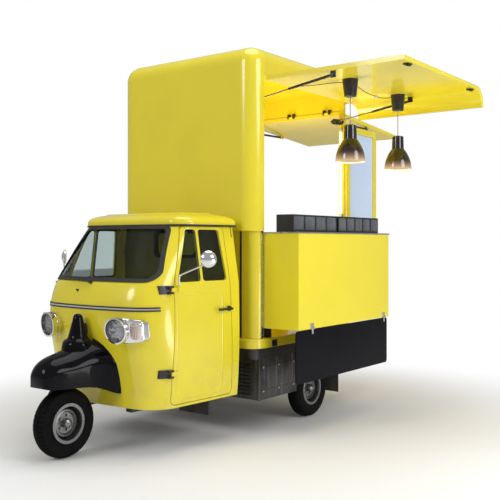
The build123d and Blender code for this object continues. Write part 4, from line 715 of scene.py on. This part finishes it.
class VAN_OT_blackwork(bpy.types.Operator):
    """Finish the mudguard, skirt, caddies, frame and fittings in black"""

    bl_idname = "van.blackwork"
    bl_label = "Black parts"

    def execute(self, context):
        gloss = finish("black_gloss")
        clothe(gloss, "front_mudguard")
        build_mudguard(gloss)
        sheet = finish("skirt_gloss")
        hinges_to_chrome(sheet)
        clothe(sheet, "skirt")
        fitting = finish("black_fitting")
        clothe(fitting, "awning_fittings", "fixed_hardware", "wiper", "power_inlet")
        clothe(fitting, "left_door_handle", "right_door_handle")
        chassis = finish("frame_paint")
        clothe(chassis, "chassis_frame", "steering_column", "front_link", "left_arm", "right_arm")
        clothe(chassis, "drive_unit", "battery_pack")
        clothe(finish("rubber_seal"), "cab_rubbers", "handlebar_grips")
        clothe(finish("rubber_flap"), "mudflaps")
        clothe(finish("cab_floor_mat"), "cab_floor")
        clothe(finish("caddy_plastic"), "display_caddies")
        return {"FINISHED"}


PUNCH_PITCH = 0.022
PUNCH_EDGE = (0.30, 0.45)
STREAK_EDGE = (0.5, 0.72)
CASE_SKIN = 0.006
CASE_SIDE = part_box("battery_case")[1].x - CASE_SKIN
RIM_WELL_SHADE = (0.094, 0.099, 0.117, 0.122)
TRIM_EDGE = (0.004, 0.006)


def rim_finish(name, hub):
    """Silver rim paint, with painted shade in a dark ring round a hub where the rim's well sinks."""
    rim = finish("rim_silver", name)
    axes = place_axes(rim)
    radius = distance(axes[1] - hub.y, axes[2] - hub.z)
    # Painted shade: the dark ring stands in for the shade in the rim's deep well
    overlay(rim, band(radius, RIM_WELL_SHADE), (0.03, 0.03, 0.033), roughness=0.5)
    return rim


LAMP_RING = (0.0745, 0.077, 0.082, 0.0845)
POD_AXIS = (0.372, 0.916)
POD_R = 0.0955
POD_END = 0.5455
POD_END_HALF = 0.079
POD_CORNER = 0.028
POD_DEPTH = 0.066
POD_EDGE = 0.007
POD_LEAN = 0.088
POD_CURL = 0.35
POD_SET = 0.004
POD_FRONT = (
    (0.276, 0.1635), (0.330, 0.1705), (0.372, 0.1760), (0.420, 0.1845), (0.450, 0.1905), (0.470, 0.1982),
    (0.500, 0.2120), (0.520, 0.2236), (0.546, 0.2430),
)


def pod_half(x):
    """Half the headlamp housing's height at a place across the van."""
    off = x - POD_AXIS[0]
    if off < 0:
        return math.sqrt(max(POD_R**2 - off**2, 0))
    straight = POD_END - POD_CORNER
    half = POD_R + (POD_END_HALF - POD_R) * min(1, off / (straight - POD_AXIS[0]))
    into = max(0, x - straight)
    return half - POD_CORNER + math.sqrt(max(POD_CORNER**2 - into**2, 0))


def pod_front(x, rise):
    """Where the housing's face lies, a little behind the lamps' own faces."""
    pairs = list(zip(POD_FRONT, POD_FRONT[1:]))
    (x0, y0), (x1, y1) = next((p for p in pairs if x <= p[1][0]), pairs[-1])
    return y0 + (y1 - y0) * (x - x0) / (x1 - x0) - POD_LEAN * rise + POD_CURL * rise**2 + POD_SET


def build_pod(name, side, material):
    """One chrome housing round the headlamp and its indicator."""
    bm = bmesh.new()
    bmesh.ops.create_grid(bm, x_segments=36, y_segments=10, size=1)
    start = POD_AXIS[0] - POD_R
    for vert in bm.verts:
        x = start + (POD_END - start) * (1 - math.cos(math.pi * (vert.co.x + 1) / 2)) / 2
        rise = pod_half(x) * vert.co.y
        vert.co = (side * x, pod_front(x, rise), POD_AXIS[1] + rise)
    back = bmesh.ops.extrude_face_region(bm, geom=bm.faces[:])["geom"]
    moved = [v for v in back if isinstance(v, bmesh.types.BMVert)]
    bmesh.ops.translate(bm, verts=moved, vec=(0, POD_DEPTH, 0))
    bmesh.ops.remove_doubles(bm, verts=bm.verts, dist=1e-4)
    bmesh.ops.recalc_face_normals(bm, faces=bm.faces)
    bevelled(bm, POD_EDGE, segments=3, limit=50)
    to_object(bm, f"{name}_lamp_housing", material, "van")


class VAN_OT_metalwork(bpy.types.Operator):
    """Finish the bright, brushed and weathered metal"""

    bl_idname = "van.metalwork"
    bl_label = "Metal parts"

    def execute(self, context):
        chrome, lamp = (finish("chrome", name) for name in ("polished_chrome", "lamp_chrome"))
        clothe(chrome, "left_mirror", "right_mirror")
        clothe(finish("strut_rod_steel"), "awning_strut_rods", "flap_strut_rods")
        axes = place_axes(lamp)
        radius = distance(abs(axes[0]) - POD_AXIS[0], axes[2] - POD_AXIS[1])
        overlay(lamp, band(radius, LAMP_RING), (0.03, 0.03, 0.032), roughness=0.3)
        clothe(lamp, "headlamp_bodies")
        for name, side in SIDES:
            build_pod(name, side, chrome)
        clothe(finish("strut_tube_paint"), "awning_strut_tubes", "flap_strut_tubes")
        brushed = finish("brushed_top")
        brush = noise(brushed.node_tree, scale=60, detail=2, stretch=(1, 0.03, 1))
        emboss(brushed, brush, strength=0.12, distance=0.001)
        clothe(brushed, "counter_top")
        zinc = finish("weathered_zinc")
        streak = noise(zinc.node_tree, scale=30, detail=4, stretch=(1, 1, 0.06))
        overlay(zinc, ramp(streak, *STREAK_EDGE), colour_of(("case", 1.8)), roughness=0.3)
        axes = place_axes(zinc)
        hole = ramp(waves(axes[1], PUNCH_PITCH) * waves(axes[2], PUNCH_PITCH), *PUNCH_EDGE)
        punched = hole * (abs(axes[0]) > CASE_SIDE)
        overlay(zinc, punched, colour_of(("case", 0.12)), roughness=0.7)
        emboss(zinc, 1.0 - punched, strength=0.5, distance=0.003)
        clothe(zinc, "battery_case")
        strip = finish("trim_rubber")
        off = abs(place_axes(strip)[2] - TRIM_Z)
        bright = 1.0 - ramp(off, *TRIM_EDGE)
        overlay(strip, bright, (0.85, 0.85, 0.84), roughness=0.12)
        feed_shader(strip, Metallic=bright)
        clothe(strip, "front_trim")
        clothe(rim_finish("front_rim_silver", hub_of("front")), "front_rim")
        clothe(rim_finish("rear_rim_silver", hub_of("left")), "left_rim", "right_rim")
        return {"FINISHED"}


TAIL_SPLITS = (0.562, 0.466)
ROUND_LENS_EDGE = 0.455
FLUTE_PITCH = 0.011


def flutes(axis):
    """Upright ribs across one axis, from 0 to 1."""
    return waves(axis, FLUTE_PITCH) * 0.5 + 0.5


class VAN_OT_glazing(bpy.types.Operator):
    """Finish the windows, the rear pane and the lamp lenses"""

    bl_idname = "van.glazing"
    bl_label = "Glass"

    def execute(self, context):
        glass = finish("window_glass")
        clothe(glass, "cab_glass", "left_quarter_glass", "right_quarter_glass")
        clothe(glass, "left_drop_pane", "right_drop_pane")
        clothe(finish("rear_pane"), "rear_door_pane")
        tail = finish("tail_lens")
        across = place_axes(tail)[0]
        overlay(tail, abs(across) < TAIL_SPLITS[0], (0.75, 0.26, 0.01), roughness=0.12)
        overlay(tail, abs(across) < TAIL_SPLITS[1], (0.75, 0.76, 0.76), roughness=0.1)
        emboss(tail, flutes(across), strength=0.3, distance=0.002)
        clothe(tail, "tail_lamps")
        lens = finish("lamp_lens")
        across = place_axes(lens)[0]
        overlay(lens, abs(across) > ROUND_LENS_EDGE, (0.95, 0.74, 0.66), roughness=0.1)
        emboss(lens, flutes(across), strength=0.9, distance=0.006)
        clothe(lens, "headlamp_lenses")
        return {"FINISHED"}


# Half a tyre's profile, from bead to crown: distance from its middle and radius, in metres
TYRE_HALF = (
    (0.0460, 0.1345), (0.0525, 0.1470), (0.0565, 0.1580), (0.0578, 0.1600), (0.0585, 0.1720),
    (0.0600, 0.2000), (0.0582, 0.2165), (0.0545, 0.2285), (0.0505, 0.2345), (0.0440, 0.2384),
    (0.0350, 0.2429), (0.0165, 0.2485), (0.0160, 0.2425), (0.0120, 0.2425), (0.0115, 0.2495),
)
SHOULDER_IN = 0.0168
SHOULDER_R = 0.229
STEPS_A_PITCH = 6
GROOVE_WALL = 0.0008


def turn_tyre(bm, hub, sizes):
    """A tyre with two grooves round it and cross grooves on both shoulders."""
    half = list(TYRE_HALF)
    profile = half + [(-a, r) for a, r in reversed(half)] + half[:1]
    steps = STEPS_A_PITCH * sizes.tread_pitches
    spun(bm, profile, hub, (1, 0, 0), steps)
    cut = []
    for face in bm.faces:
        place = face.calc_center_median() - hub
        step = int(math.atan2(place.z, place.y) / (2 * math.pi) % 1 * steps)
        shift = STEPS_A_PITCH // 2 if place.x > 0 else 0
        on_shoulder = math.hypot(place.y, place.z) > SHOULDER_R and abs(place.x) > SHOULDER_IN
        if on_shoulder and (step + shift) % STEPS_A_PITCH == 0:
            cut.append(face)
    bmesh.ops.inset_region(
        bm, faces=cut, thickness=GROOVE_WALL, depth=-sizes.tread_depth, use_boundary=True,
        use_even_offset=True,
    )
    for vert in bm.verts:
        vert.co.z = max(vert.co.z, 0.0)


class VAN_OT_tyres(bpy.types.Operator):
    """Turn the three tyres, with grooves, tread blocks and dusty rubber"""

    bl_idname = "van.tyres"
    bl_label = "Tyres"

    def execute(self, context):
        rubber = finish("tyre_rubber")
        for wheel in ("front", "left", "right"):
            bm = bmesh.new()
            turn_tyre(bm, hub_of(wheel), context.scene.van_sizes)
            to_object(bm, f"{wheel}_tread", rubber, f"{wheel}_wheel", (f"{wheel}_tyre",))
        return {"FINISHED"}


PAD_CAP = 0.014
PAD_VOXEL = 0.016
PAD_STEPS = 14
PAD_PRESSURE = 4
CHANNELS = (-0.25, 0.0, 0.25)
CHANNEL_HALF = 0.02
CHANNEL_DEPTH = 0.008


def swell(piece, cap):
    """Blow a pad up with cloth pressure, no point moving further than cap."""
    cloth = piece.modifiers.new("swell", "CLOTH")
    set_all(cloth.settings, use_pressure=True, uniform_pressure_force=PAD_PRESSURE)
    cloth.settings.effector_weights.gravity = 0
    scene = bpy.context.scene
    for step in range(1, PAD_STEPS + 1):
        scene.frame_set(step)
    shape = piece.evaluated_get(bpy.context.evaluated_depsgraph_get()).data
    moved = [v.co.copy() for v in shape.vertices]
    piece.modifiers.remove(cloth)
    scene.frame_set(1)
    for vert, place in zip(piece.data.vertices, moved):
        way = place - vert.co
        if way.length > cap:
            way *= cap / way.length
        vert.co += way


class VAN_OT_bench(bpy.types.Operator):
    """Stuff the bench's seat and back, with sewn channels in black vinyl"""

    bl_idname = "van.bench"
    bl_label = "Bench"

    def execute(self, context):
        vinyl = finish("bench_vinyl")
        bm = merged_bmesh("bench_cushions")
        bmesh.ops.recalc_face_normals(bm, faces=bm.faces)
        for vert in bm.verts:
            vert.normal_update()
        for vert, way in [(v, v.normal.copy()) for v in bm.verts]:
            vert.co -= way * PAD_CAP * 0.5
        pad = add_object("bench_pads", new_mesh(bm, "bench_pads"))
        select_only(pad)
        pad.data.remesh_voxel_size = PAD_VOXEL
        bpy.ops.object.voxel_remesh()
        swell(pad, PAD_CAP)
        for vert in pad.data.vertices:
            near = min(abs(vert.co.x - x) for x in CHANNELS)
            vert.co -= vert.normal * CHANNEL_DEPTH * max(0.0, 1 - near / CHANNEL_HALF)
        pad.data.materials.append(vinyl)
        pad.data.shade_smooth()
        soft = pad.modifiers.new("soft", "SUBSURF")
        soft.levels = soft.render_levels = 1
        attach(pad, "van")
        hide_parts("bench_cushions")
        return {"FINISHED"}


LEAD_Z = 2.8417
LEAD_ROUTE = (
    (0.810, 1.760, LEAD_Z), (1.010, 1.760, LEAD_Z - 0.014),
    (1.180, 1.780, LEAD_Z - 0.006), (1.257, 1.800, LEAD_Z - 0.014),
)
SAG_ROUTE = (
    (1.320, 1.8625, LEAD_Z - 0.022), (1.323, 2.020, LEAD_Z - 0.064), (1.320, 2.230, LEAD_Z - 0.072),
    (1.317, 2.440, LEAD_Z - 0.058), (1.320, 2.5775, LEAD_Z - 0.022),
)
EYE_PROFILE = (
    (-0.006, 0.0), (-0.006, 0.0028), (-0.0048, 0.004), (0.0048, 0.004), (0.006, 0.0028), (0.006, 0.0),
)


def lay_cord(name, route, radius, material, body, node):
    """A cord along a route, as a curve with a round section. Returns it and its length."""
    data = bpy.data.curves.new(name, "CURVE")
    data.dimensions = "3D"
    spline = data.splines.new("NURBS")
    spline.points.add(len(route) - 1)
    for point, place in zip(spline.points, route):
        point.co = (*place, 1.0)
    set_all(spline, order_u=3, use_endpoint_u=True)
    set_all(data, resolution_u=12, bevel_depth=radius, bevel_resolution=4, use_fill_caps=True)
    data.materials.append(material)
    piece = add_object(name, data)
    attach(piece, body)
    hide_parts(node)
    return piece, spline.calc_length()


class VAN_OT_cords(bpy.types.Operator):
    """Lay the lamp leads along the awning and hang the pendant cords"""

    bl_idname = "van.cords"
    bl_label = "Cords"

    def execute(self, context):
        sizes = context.scene.van_sizes
        sheath = finish("lead_sheath")
        pale = finish("pendant_sheath")
        how = (sizes.lead_radius, sheath, "awning", "lamp_leads")
        lead, length = lay_cord("supply_lead", LEAD_ROUTE, *how)
        joint = connector(SAG_ROUTE[2])
        sag, length = lay_cord("link_lead", SAG_ROUTE, *how)
        low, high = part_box("lamp_cords")
        top = high.z - sizes.cord_radius
        for place, y in zip(("front", "rear"), LAMP_YS):
            route = [(LAMP_X, y, top - (top - low.z) * part / 3) for part in range(4)]
            name = f"{place}_pendant_cord"
            cord, length = lay_cord(name, route, sizes.cord_radius, pale, "pendants", "lamp_cords")
        spots = [((LAMP_X, y, top), (0, 1, 0)) for y in LAMP_YS]
        turned("cord_eyes", EYE_PROFILE, spots, pale, "pendants")
        return {"FINISHED"}


CONNECTOR_HALF = Vector((0.010, 0.020, 0.012))
CUFF_HALF = Vector((0.006, 0.0035, 0.006))
CUFF_OUT = Vector((0, 0.022, 0))


def connector(place):
    """The white joint in the lead between the two lamps."""
    white = finish("connector_plastic")
    centre = Vector(place)
    boxes = [(centre - CONNECTOR_HALF, centre + CONNECTOR_HALF)]
    for end in (centre - CUFF_OUT, centre + CUFF_OUT):
        boxes.append((end - CUFF_HALF, end + CUFF_HALF))
    return blocks("lead_connector", boxes, white, "awning", edge=0.0015)


# A shade's inner wall: radius at each height above its rim, in metres
LINER = ((0.0, 0.1165), (0.098, 0.0975), (0.182, 0.0505))
# Heights and strengths of the painted warm reflection and the painted glow on the liner and rim
PAINTED_GLOW_HEIGHT = 0.16
SPILL_HEIGHT = 0.085
LINER_GLOW = 0.9
SPILL_GLOW = 0.75


def lamp_radius(material):
    """Distance from the nearer pendant lamp's upright axis, and height above the shades' rim."""
    axes = place_axes(material)
    along = maths("MINIMUM", *(abs(axes[1] - y) for y in LAMP_YS))
    return distance(axes[0] - LAMP_X, along), axes[2] - SHADES_LOW.z


class VAN_OT_lamps(bpy.types.Operator):
    """Finish the pendant shades, black outside and pale inside, with a painted warm reflection and painted
    glow near the rim, and light their bulbs
    """

    bl_idname = "van.lamps"
    bl_label = "Pendant lamps"

    def execute(self, context):
        shade = finish("shade_enamel")
        radius, height = lamp_radius(shade)
        walls = [
            ramp(height, low_z, high_z, smooth=False, ends=(low_r, high_r), clamp=False)
            for (low_z, low_r), (high_z, high_r) in zip(LINER, LINER[1:])
        ]
        inside = (radius < maths("MINIMUM", *walls)) * (height < LINER[-1][0])
        # Painted light: a warm brown reflection low on the outside, and a glow over the pale liner and
        # round the rim, though the shade is no lamp
        overlay(shade, 1.0 - ramp(height, 0.0, PAINTED_GLOW_HEIGHT), (0.055, 0.024, 0.010))
        overlay(shade, inside, (0.85, 0.78, 0.62), roughness=0.4)
        spill = (1.0 - ramp(height, 0.0, SPILL_HEIGHT, smooth=False)) ** 2.0
        feed_shader(shade, Emission_Strength=maths("MAXIMUM", inside * LINER_GLOW, spill * SPILL_GLOW))
        clothe(shade, "lamp_shades")
        clothe(finish("lit_bulb"), "lamp_bulbs")
        return {"FINISHED"}


BEAD_EDGE = math.radians(50)


def edge_bead(name, node, choose, radius, material, body):
    """A round bead along those sharp edges of a CAD node that a test picks."""
    bm = merged_bmesh(node)
    kept = {e for e in bm.edges if e.is_manifold and e.calc_face_angle(0) > BEAD_EDGE and choose(e)}
    if not kept:
        raise RuntimeError(f"no edge of {node} was picked for {name}")
    bmesh.ops.delete(bm, geom=bm.faces[:], context="FACES_ONLY")
    bmesh.ops.delete(bm, geom=[e for e in bm.edges if e not in kept], context="EDGES")
    bmesh.ops.delete(bm, geom=[v for v in bm.verts if not v.link_edges], context="VERTS")
    piece = add_object(name, new_mesh(bm, name))
    select_only(piece)
    bpy.ops.object.convert(target="CURVE")
    set_all(piece.data, bevel_depth=radius, bevel_resolution=2, use_fill_caps=True)
    bpy.ops.object.convert(target="MESH")
    piece.data.shade_smooth()
    piece.data.materials.clear()
    piece.data.materials.append(material)
    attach(piece, body)


FACING = 0.6


def faces_out(edge, side, outward):
    """Whether an edge borders a face that looks out of, or into, one side of the cab."""
    return max(side * face.normal.x * outward for face in edge.link_faces) > FACING


WINDOW_BELT = 1.243
WINDOW_TOP = 1.647
DROP_START = 0.005
DROP_END = 0.295
QUARTER_BEAD = 0.0035
DROP_BEAD = 0.0045


class VAN_OT_seals(bpy.types.Operator):
    """Run rubber beads round the door windows"""

    bl_idname = "van.seals"
    bl_label = "Seals"

    def execute(self, context):
        rubber = finish("window_bead")
        for name, side in SIDES:
            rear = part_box(f"{name}_quarter_glass")[1].y

            def on_quarter(edge, side=side):
                return faces_out(edge, side, 1)

            def on_drop(edge, side=side, rear=rear):
                mid = (edge.verts[0].co + edge.verts[1].co) / 2
                within = WINDOW_BELT < mid.z < WINDOW_TOP and rear + DROP_START < mid.y < rear + DROP_END
                return within and faces_out(edge, side, -1)

            door, quarter = f"{name}_door", f"{name}_quarter_glass"
            edge_bead(f"{name}_quarter_bead", quarter, on_quarter, QUARTER_BEAD, rubber, door)
            edge_bead(f"{name}_drop_bead", door, on_drop, DROP_BEAD, rubber, door)
        return {"FINISHED"}


MIRROR_YAW = math.radians(46)
MIRROR_PLACE = Vector((0.800, 0.660, 1.420))
CADDY_CELLS = ((1.450, 2.120, 4), (2.145, None, 5))
CADDY_WALL = 0.006
CELL_MARGIN = 0.0085
PANE_BACK = 0.0029
PANE_FRONT = 0.0008
PANE_FOOT = 0.0165
PANE_HEAD = 0.0145
MIRROR_PROFILE = ((0.0155, 0.0530), (0.0172, 0.0530), (0.0180, 0.0515), (0.0184, 0.0))


class VAN_OT_details(bpy.types.Operator):
    """Add mirror glasses, caddy panes, strips, the light tube, bolts and the washer jet"""

    bl_idname = "van.details"
    bl_label = "Details"

    def execute(self, context):
        silver = finish("mirror_glass")
        for name, side in SIDES:
            facing = (-side * math.sin(MIRROR_YAW), math.cos(MIRROR_YAW), 0)
            head = Vector((side * MIRROR_PLACE.x, MIRROR_PLACE.y, MIRROR_PLACE.z))
            glass, mirror = f"{name}_mirror_glass", f"{name}_mirror"
            turned(glass, MIRROR_PROFILE, [(head, facing)], silver, mirror, steps=64)
        build_caddy_panes()
        build_strips()
        build_light_tube()
        build_case_bolts()
        build_washer()
        return {"FINISHED"}


def build_caddy_panes():
    """A dark window in the front of each caddy cell."""
    pane = finish("caddy_pane")
    low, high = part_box("display_caddies")
    boxes = []
    for start, end, cells in CADDY_CELLS:
        width = ((end or high.y) - start - CADDY_WALL) / cells
        for n in range(cells):
            a = start + CADDY_WALL + n * width + CELL_MARGIN
            b = start + (n + 1) * width - CELL_MARGIN
            pane_low = (high.x - PANE_BACK, a, low.z + PANE_FOOT)
            boxes.append((pane_low, (high.x - PANE_FRONT, b, high.z - PANE_HEAD)))
    blocks("caddy_panes", boxes, pane, "counter", edge=0.0005)


# A thin dark box standing on the lower front wall, beside its corner
JAMB_DARK_STRIP = ((0.562, 1.334, 0.768), (0.580, 1.340, 1.633))
JAMB_STRIP = ((0.735, 1.395, 0.768), (0.738, 1.422, 1.633))


def build_strips():
    """A thin dark strip on the lower front wall, and the bright jamb strip beside the counter."""
    blocks("jamb_rubber", [JAMB_DARK_STRIP], finish("strip_rubber"), "van", edge=0.002)
    blocks("jamb_strip", [JAMB_STRIP], finish("strip_metal"), "van", edge=0.001)


TUBE_FOOT = Vector((0.6015, 2.8715, 1.80))
TUBE_LENGTH = 0.82
TUBE_PROFILE = ((0.0, 0.009), (0.002, 0.011), (TUBE_LENGTH - 0.002, 0.011), (TUBE_LENGTH, 0.009))
CAP_LOW = Vector((0.014, 0.0125, 0.016))
CAP_HIGH = Vector((0.014, 0.0133, 0.016))


def build_light_tube():
    """The slim lit tube on the rear post, with its end caps."""
    lit = finish("lit_tube")
    turned("light_tube", TUBE_PROFILE, [(TUBE_FOOT, (0, 0, 1))], lit, "van")
    cap = finish("tube_cap")
    ends = (TUBE_FOOT, TUBE_FOOT + Vector((0, 0, TUBE_LENGTH)))
    blocks("tube_caps", [(end - CAP_LOW, end + CAP_HIGH) for end in ends], cap, "van", edge=0.003)


BOLT_PROFILE = ((-0.001, 0.009), (0.002, 0.009), (0.0045, 0.007), (0.0058, 0.004), (0.0061, 0.0))
STRAP_INSET = 0.070
BOLT_INSET = 0.055


def build_case_bolts():
    """Round-headed bolts along the battery case's straps."""
    head = finish("bolt_steel")
    low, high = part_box("battery_case")
    spots = [
        ((x, y, z), (side, 0, 0))
        for side, x in ((1, high.x), (-1, low.x))
        for z in (low.z + STRAP_INSET, high.z - STRAP_INSET)
        for y in (low.y + BOLT_INSET, (low.y + high.y) / 2, high.y - BOLT_INSET)
    ]
    turned("case_bolts", BOLT_PROFILE, spots, head, "van", steps=20)


JET_PROFILE = (
    (-0.012, 0.011), (0.004, 0.011), (0.007, 0.008), (0.009, 0.006), (0.018, 0.005), (0.019, 0.0),
)
JET_PLACE = (-0.12, 0.232, 1.183)
JET_AXIS = (0, -0.9, 0.45)


def build_washer():
    """The screen washer's jet below the wiper."""
    black = finish("jet_plastic")
    turned("washer_jet", JET_PROFILE, [(JET_PLACE, JET_AXIS)], black, "van")


class VAN_OT_stage(bpy.types.Operator):
    """Set the floor, the light and the camera"""

    bl_idname = "van.stage"
    bl_label = "Stage"

    def execute(self, context):
        context.scene.view_settings.view_transform = "Standard"
        build_floor()
        build_lights()
        build_camera()
        return {"FINISHED"}


CAMERA_PLACE = Vector((4.473, -3.706, 1.545))
CAMERA_AZIMUTH = math.radians(37.06)
PHOTO_PIXELS = 500
FOCAL_PIXELS = 787
CENTRE_RISE_PIXELS = 8
FLOOR_SIZE = 60
FLOOR_MIDDLE = (0.4, 1.7)
FLOOR_FADE = (1.7, 3.9)
SENSOR_MM = 36
SURROUND_LEVEL = 0.40
LAMP_LIGHT = (1.0, 0.86, 0.6)
# Soft boxes: name, place, what it faces, size across and power
LIGHTS = (
    ("key", (6.6, 1.0, 4.4), (0.8, 2.2, 1.3), 3.0, 152),
    ("fill", (-1.8, -7.2, 5.6), (0.0, 1.2, 2.2), 3.0, 205),
    ("top", (0.8, 1.5, 7.5), (0.4, 1.6, 0.0), 5.0, 205),
    ("low", (4.2, 1.6, 0.5), (1.0, 2.2, 2.8), 1.8, 45),
    ("inside", (0.1, 2.1, 1.72), (0.5, 2.1, 2.9), 0.9, 26),
)


def build_camera():
    """The photograph's camera."""
    data = bpy.data.cameras.new("photo_camera")
    data.sensor_width = SENSOR_MM
    data.lens = SENSOR_MM * FOCAL_PIXELS / PHOTO_PIXELS
    data.shift_y = -CENTRE_RISE_PIXELS / PHOTO_PIXELS
    data.clip_end = 200
    camera = add_object("photo_camera", data)
    camera.location = CAMERA_PLACE
    camera.rotation_euler = (math.pi / 2, 0, CAMERA_AZIMUTH)
    bpy.context.scene.camera = camera


def build_floor():
    """A pale floor that keeps the van's shadow and runs out to white."""
    bm = bmesh.new()
    bmesh.ops.create_grid(bm, x_segments=1, y_segments=1, size=FLOOR_SIZE / 2)
    mesh = new_mesh(bm, "floor")
    material = finish("floor_paint")
    tree = material.node_tree
    axes = place_axes(material)
    away = distance(axes[0] - FLOOR_MIDDLE[0], axes[1] - FLOOR_MIDDLE[1])
    seen = Value(add_node(tree, "ShaderNodeLightPath").outputs["Is Camera Ray"])
    white = add_node(tree, "ShaderNodeEmission")
    blend = add_node(tree, "ShaderNodeMixShader")
    feed(ramp(away, *FLOOR_FADE) * seen, blend.inputs[0])
    feed(Value(shader_of(material).outputs[0]), blend.inputs[1])
    feed(Value(white.outputs[0]), blend.inputs[2])
    feed(Value(blend.outputs[0]), tree.nodes["Material Output"].inputs["Surface"])
    mesh.materials.append(material)
    add_object("floor", mesh)


def build_lights():
    """Soft boxes overhead and at the sides, and a pale surround."""
    for name, place, aim, size, power in LIGHTS:
        data = bpy.data.lights.new(name, "AREA")
        colour = LAMP_LIGHT if name == "inside" else (1, 1, 1)
        set_all(data, shape="DISK", size=size, energy=power, color=colour)
        lamp = add_object(name, data)
        lamp.location = place
        lamp.rotation_euler = (Vector(aim) - Vector(place)).to_track_quat("-Z", "Y").to_euler()
    world = bpy.data.worlds.new("surround")
    bpy.context.scene.world = world
    world.use_nodes = True
    back = world.node_tree.nodes["Background"]
    feed((1, 1, 1), back.inputs["Color"])
    seen = named(add_node(world.node_tree, "ShaderNodeLightPath").outputs)
    bright = maths("MAXIMUM", seen["Is Camera Ray"], seen["Is Transmission Ray"])
    feed(bright * (1 - SURROUND_LEVEL) + SURROUND_LEVEL, back.inputs["Strength"])


class VAN_PT_panel(bpy.types.Panel):
    """Lists the van's colours, sizes and pieces"""

    bl_idname = "VAN_PT_panel"
    bl_label = "Food van"
    bl_space_type = "VIEW_3D"
    bl_region_type = "UI"
    bl_category = "Food van"

    def draw(self, context):
        layout = self.layout
        for group in (context.scene.van_colours, context.scene.van_sizes):
            for name in group.__annotations__:
                layout.prop(group, name)
        for operator in OPERATORS:
            layout.operator(operator.bl_idname)


OPERATORS = (
    VAN_OT_effects, VAN_OT_bodywork, VAN_OT_blackwork, VAN_OT_metalwork, VAN_OT_glazing, VAN_OT_tyres,
    VAN_OT_bench, VAN_OT_cords, VAN_OT_lamps, VAN_OT_seals, VAN_OT_details, VAN_OT_stage,
)
CLASSES = (VanColours, VanSizes, *OPERATORS, VAN_PT_panel)


def register():
    for cls in CLASSES:
        bpy.utils.register_class(cls)
    bpy.types.Scene.van_colours = PointerProperty(type=VanColours)
    bpy.types.Scene.van_sizes = PointerProperty(type=VanSizes)


def unregister():
    del bpy.types.Scene.van_sizes
    del bpy.types.Scene.van_colours
    for cls in reversed(CLASSES):
        bpy.utils.unregister_class(cls)


def main():
    register()
    for operator in OPERATORS:
        group, name = operator.bl_idname.split(".")
        getattr(getattr(bpy.ops, group), name)()


if __name__ == "__main__":
    main()
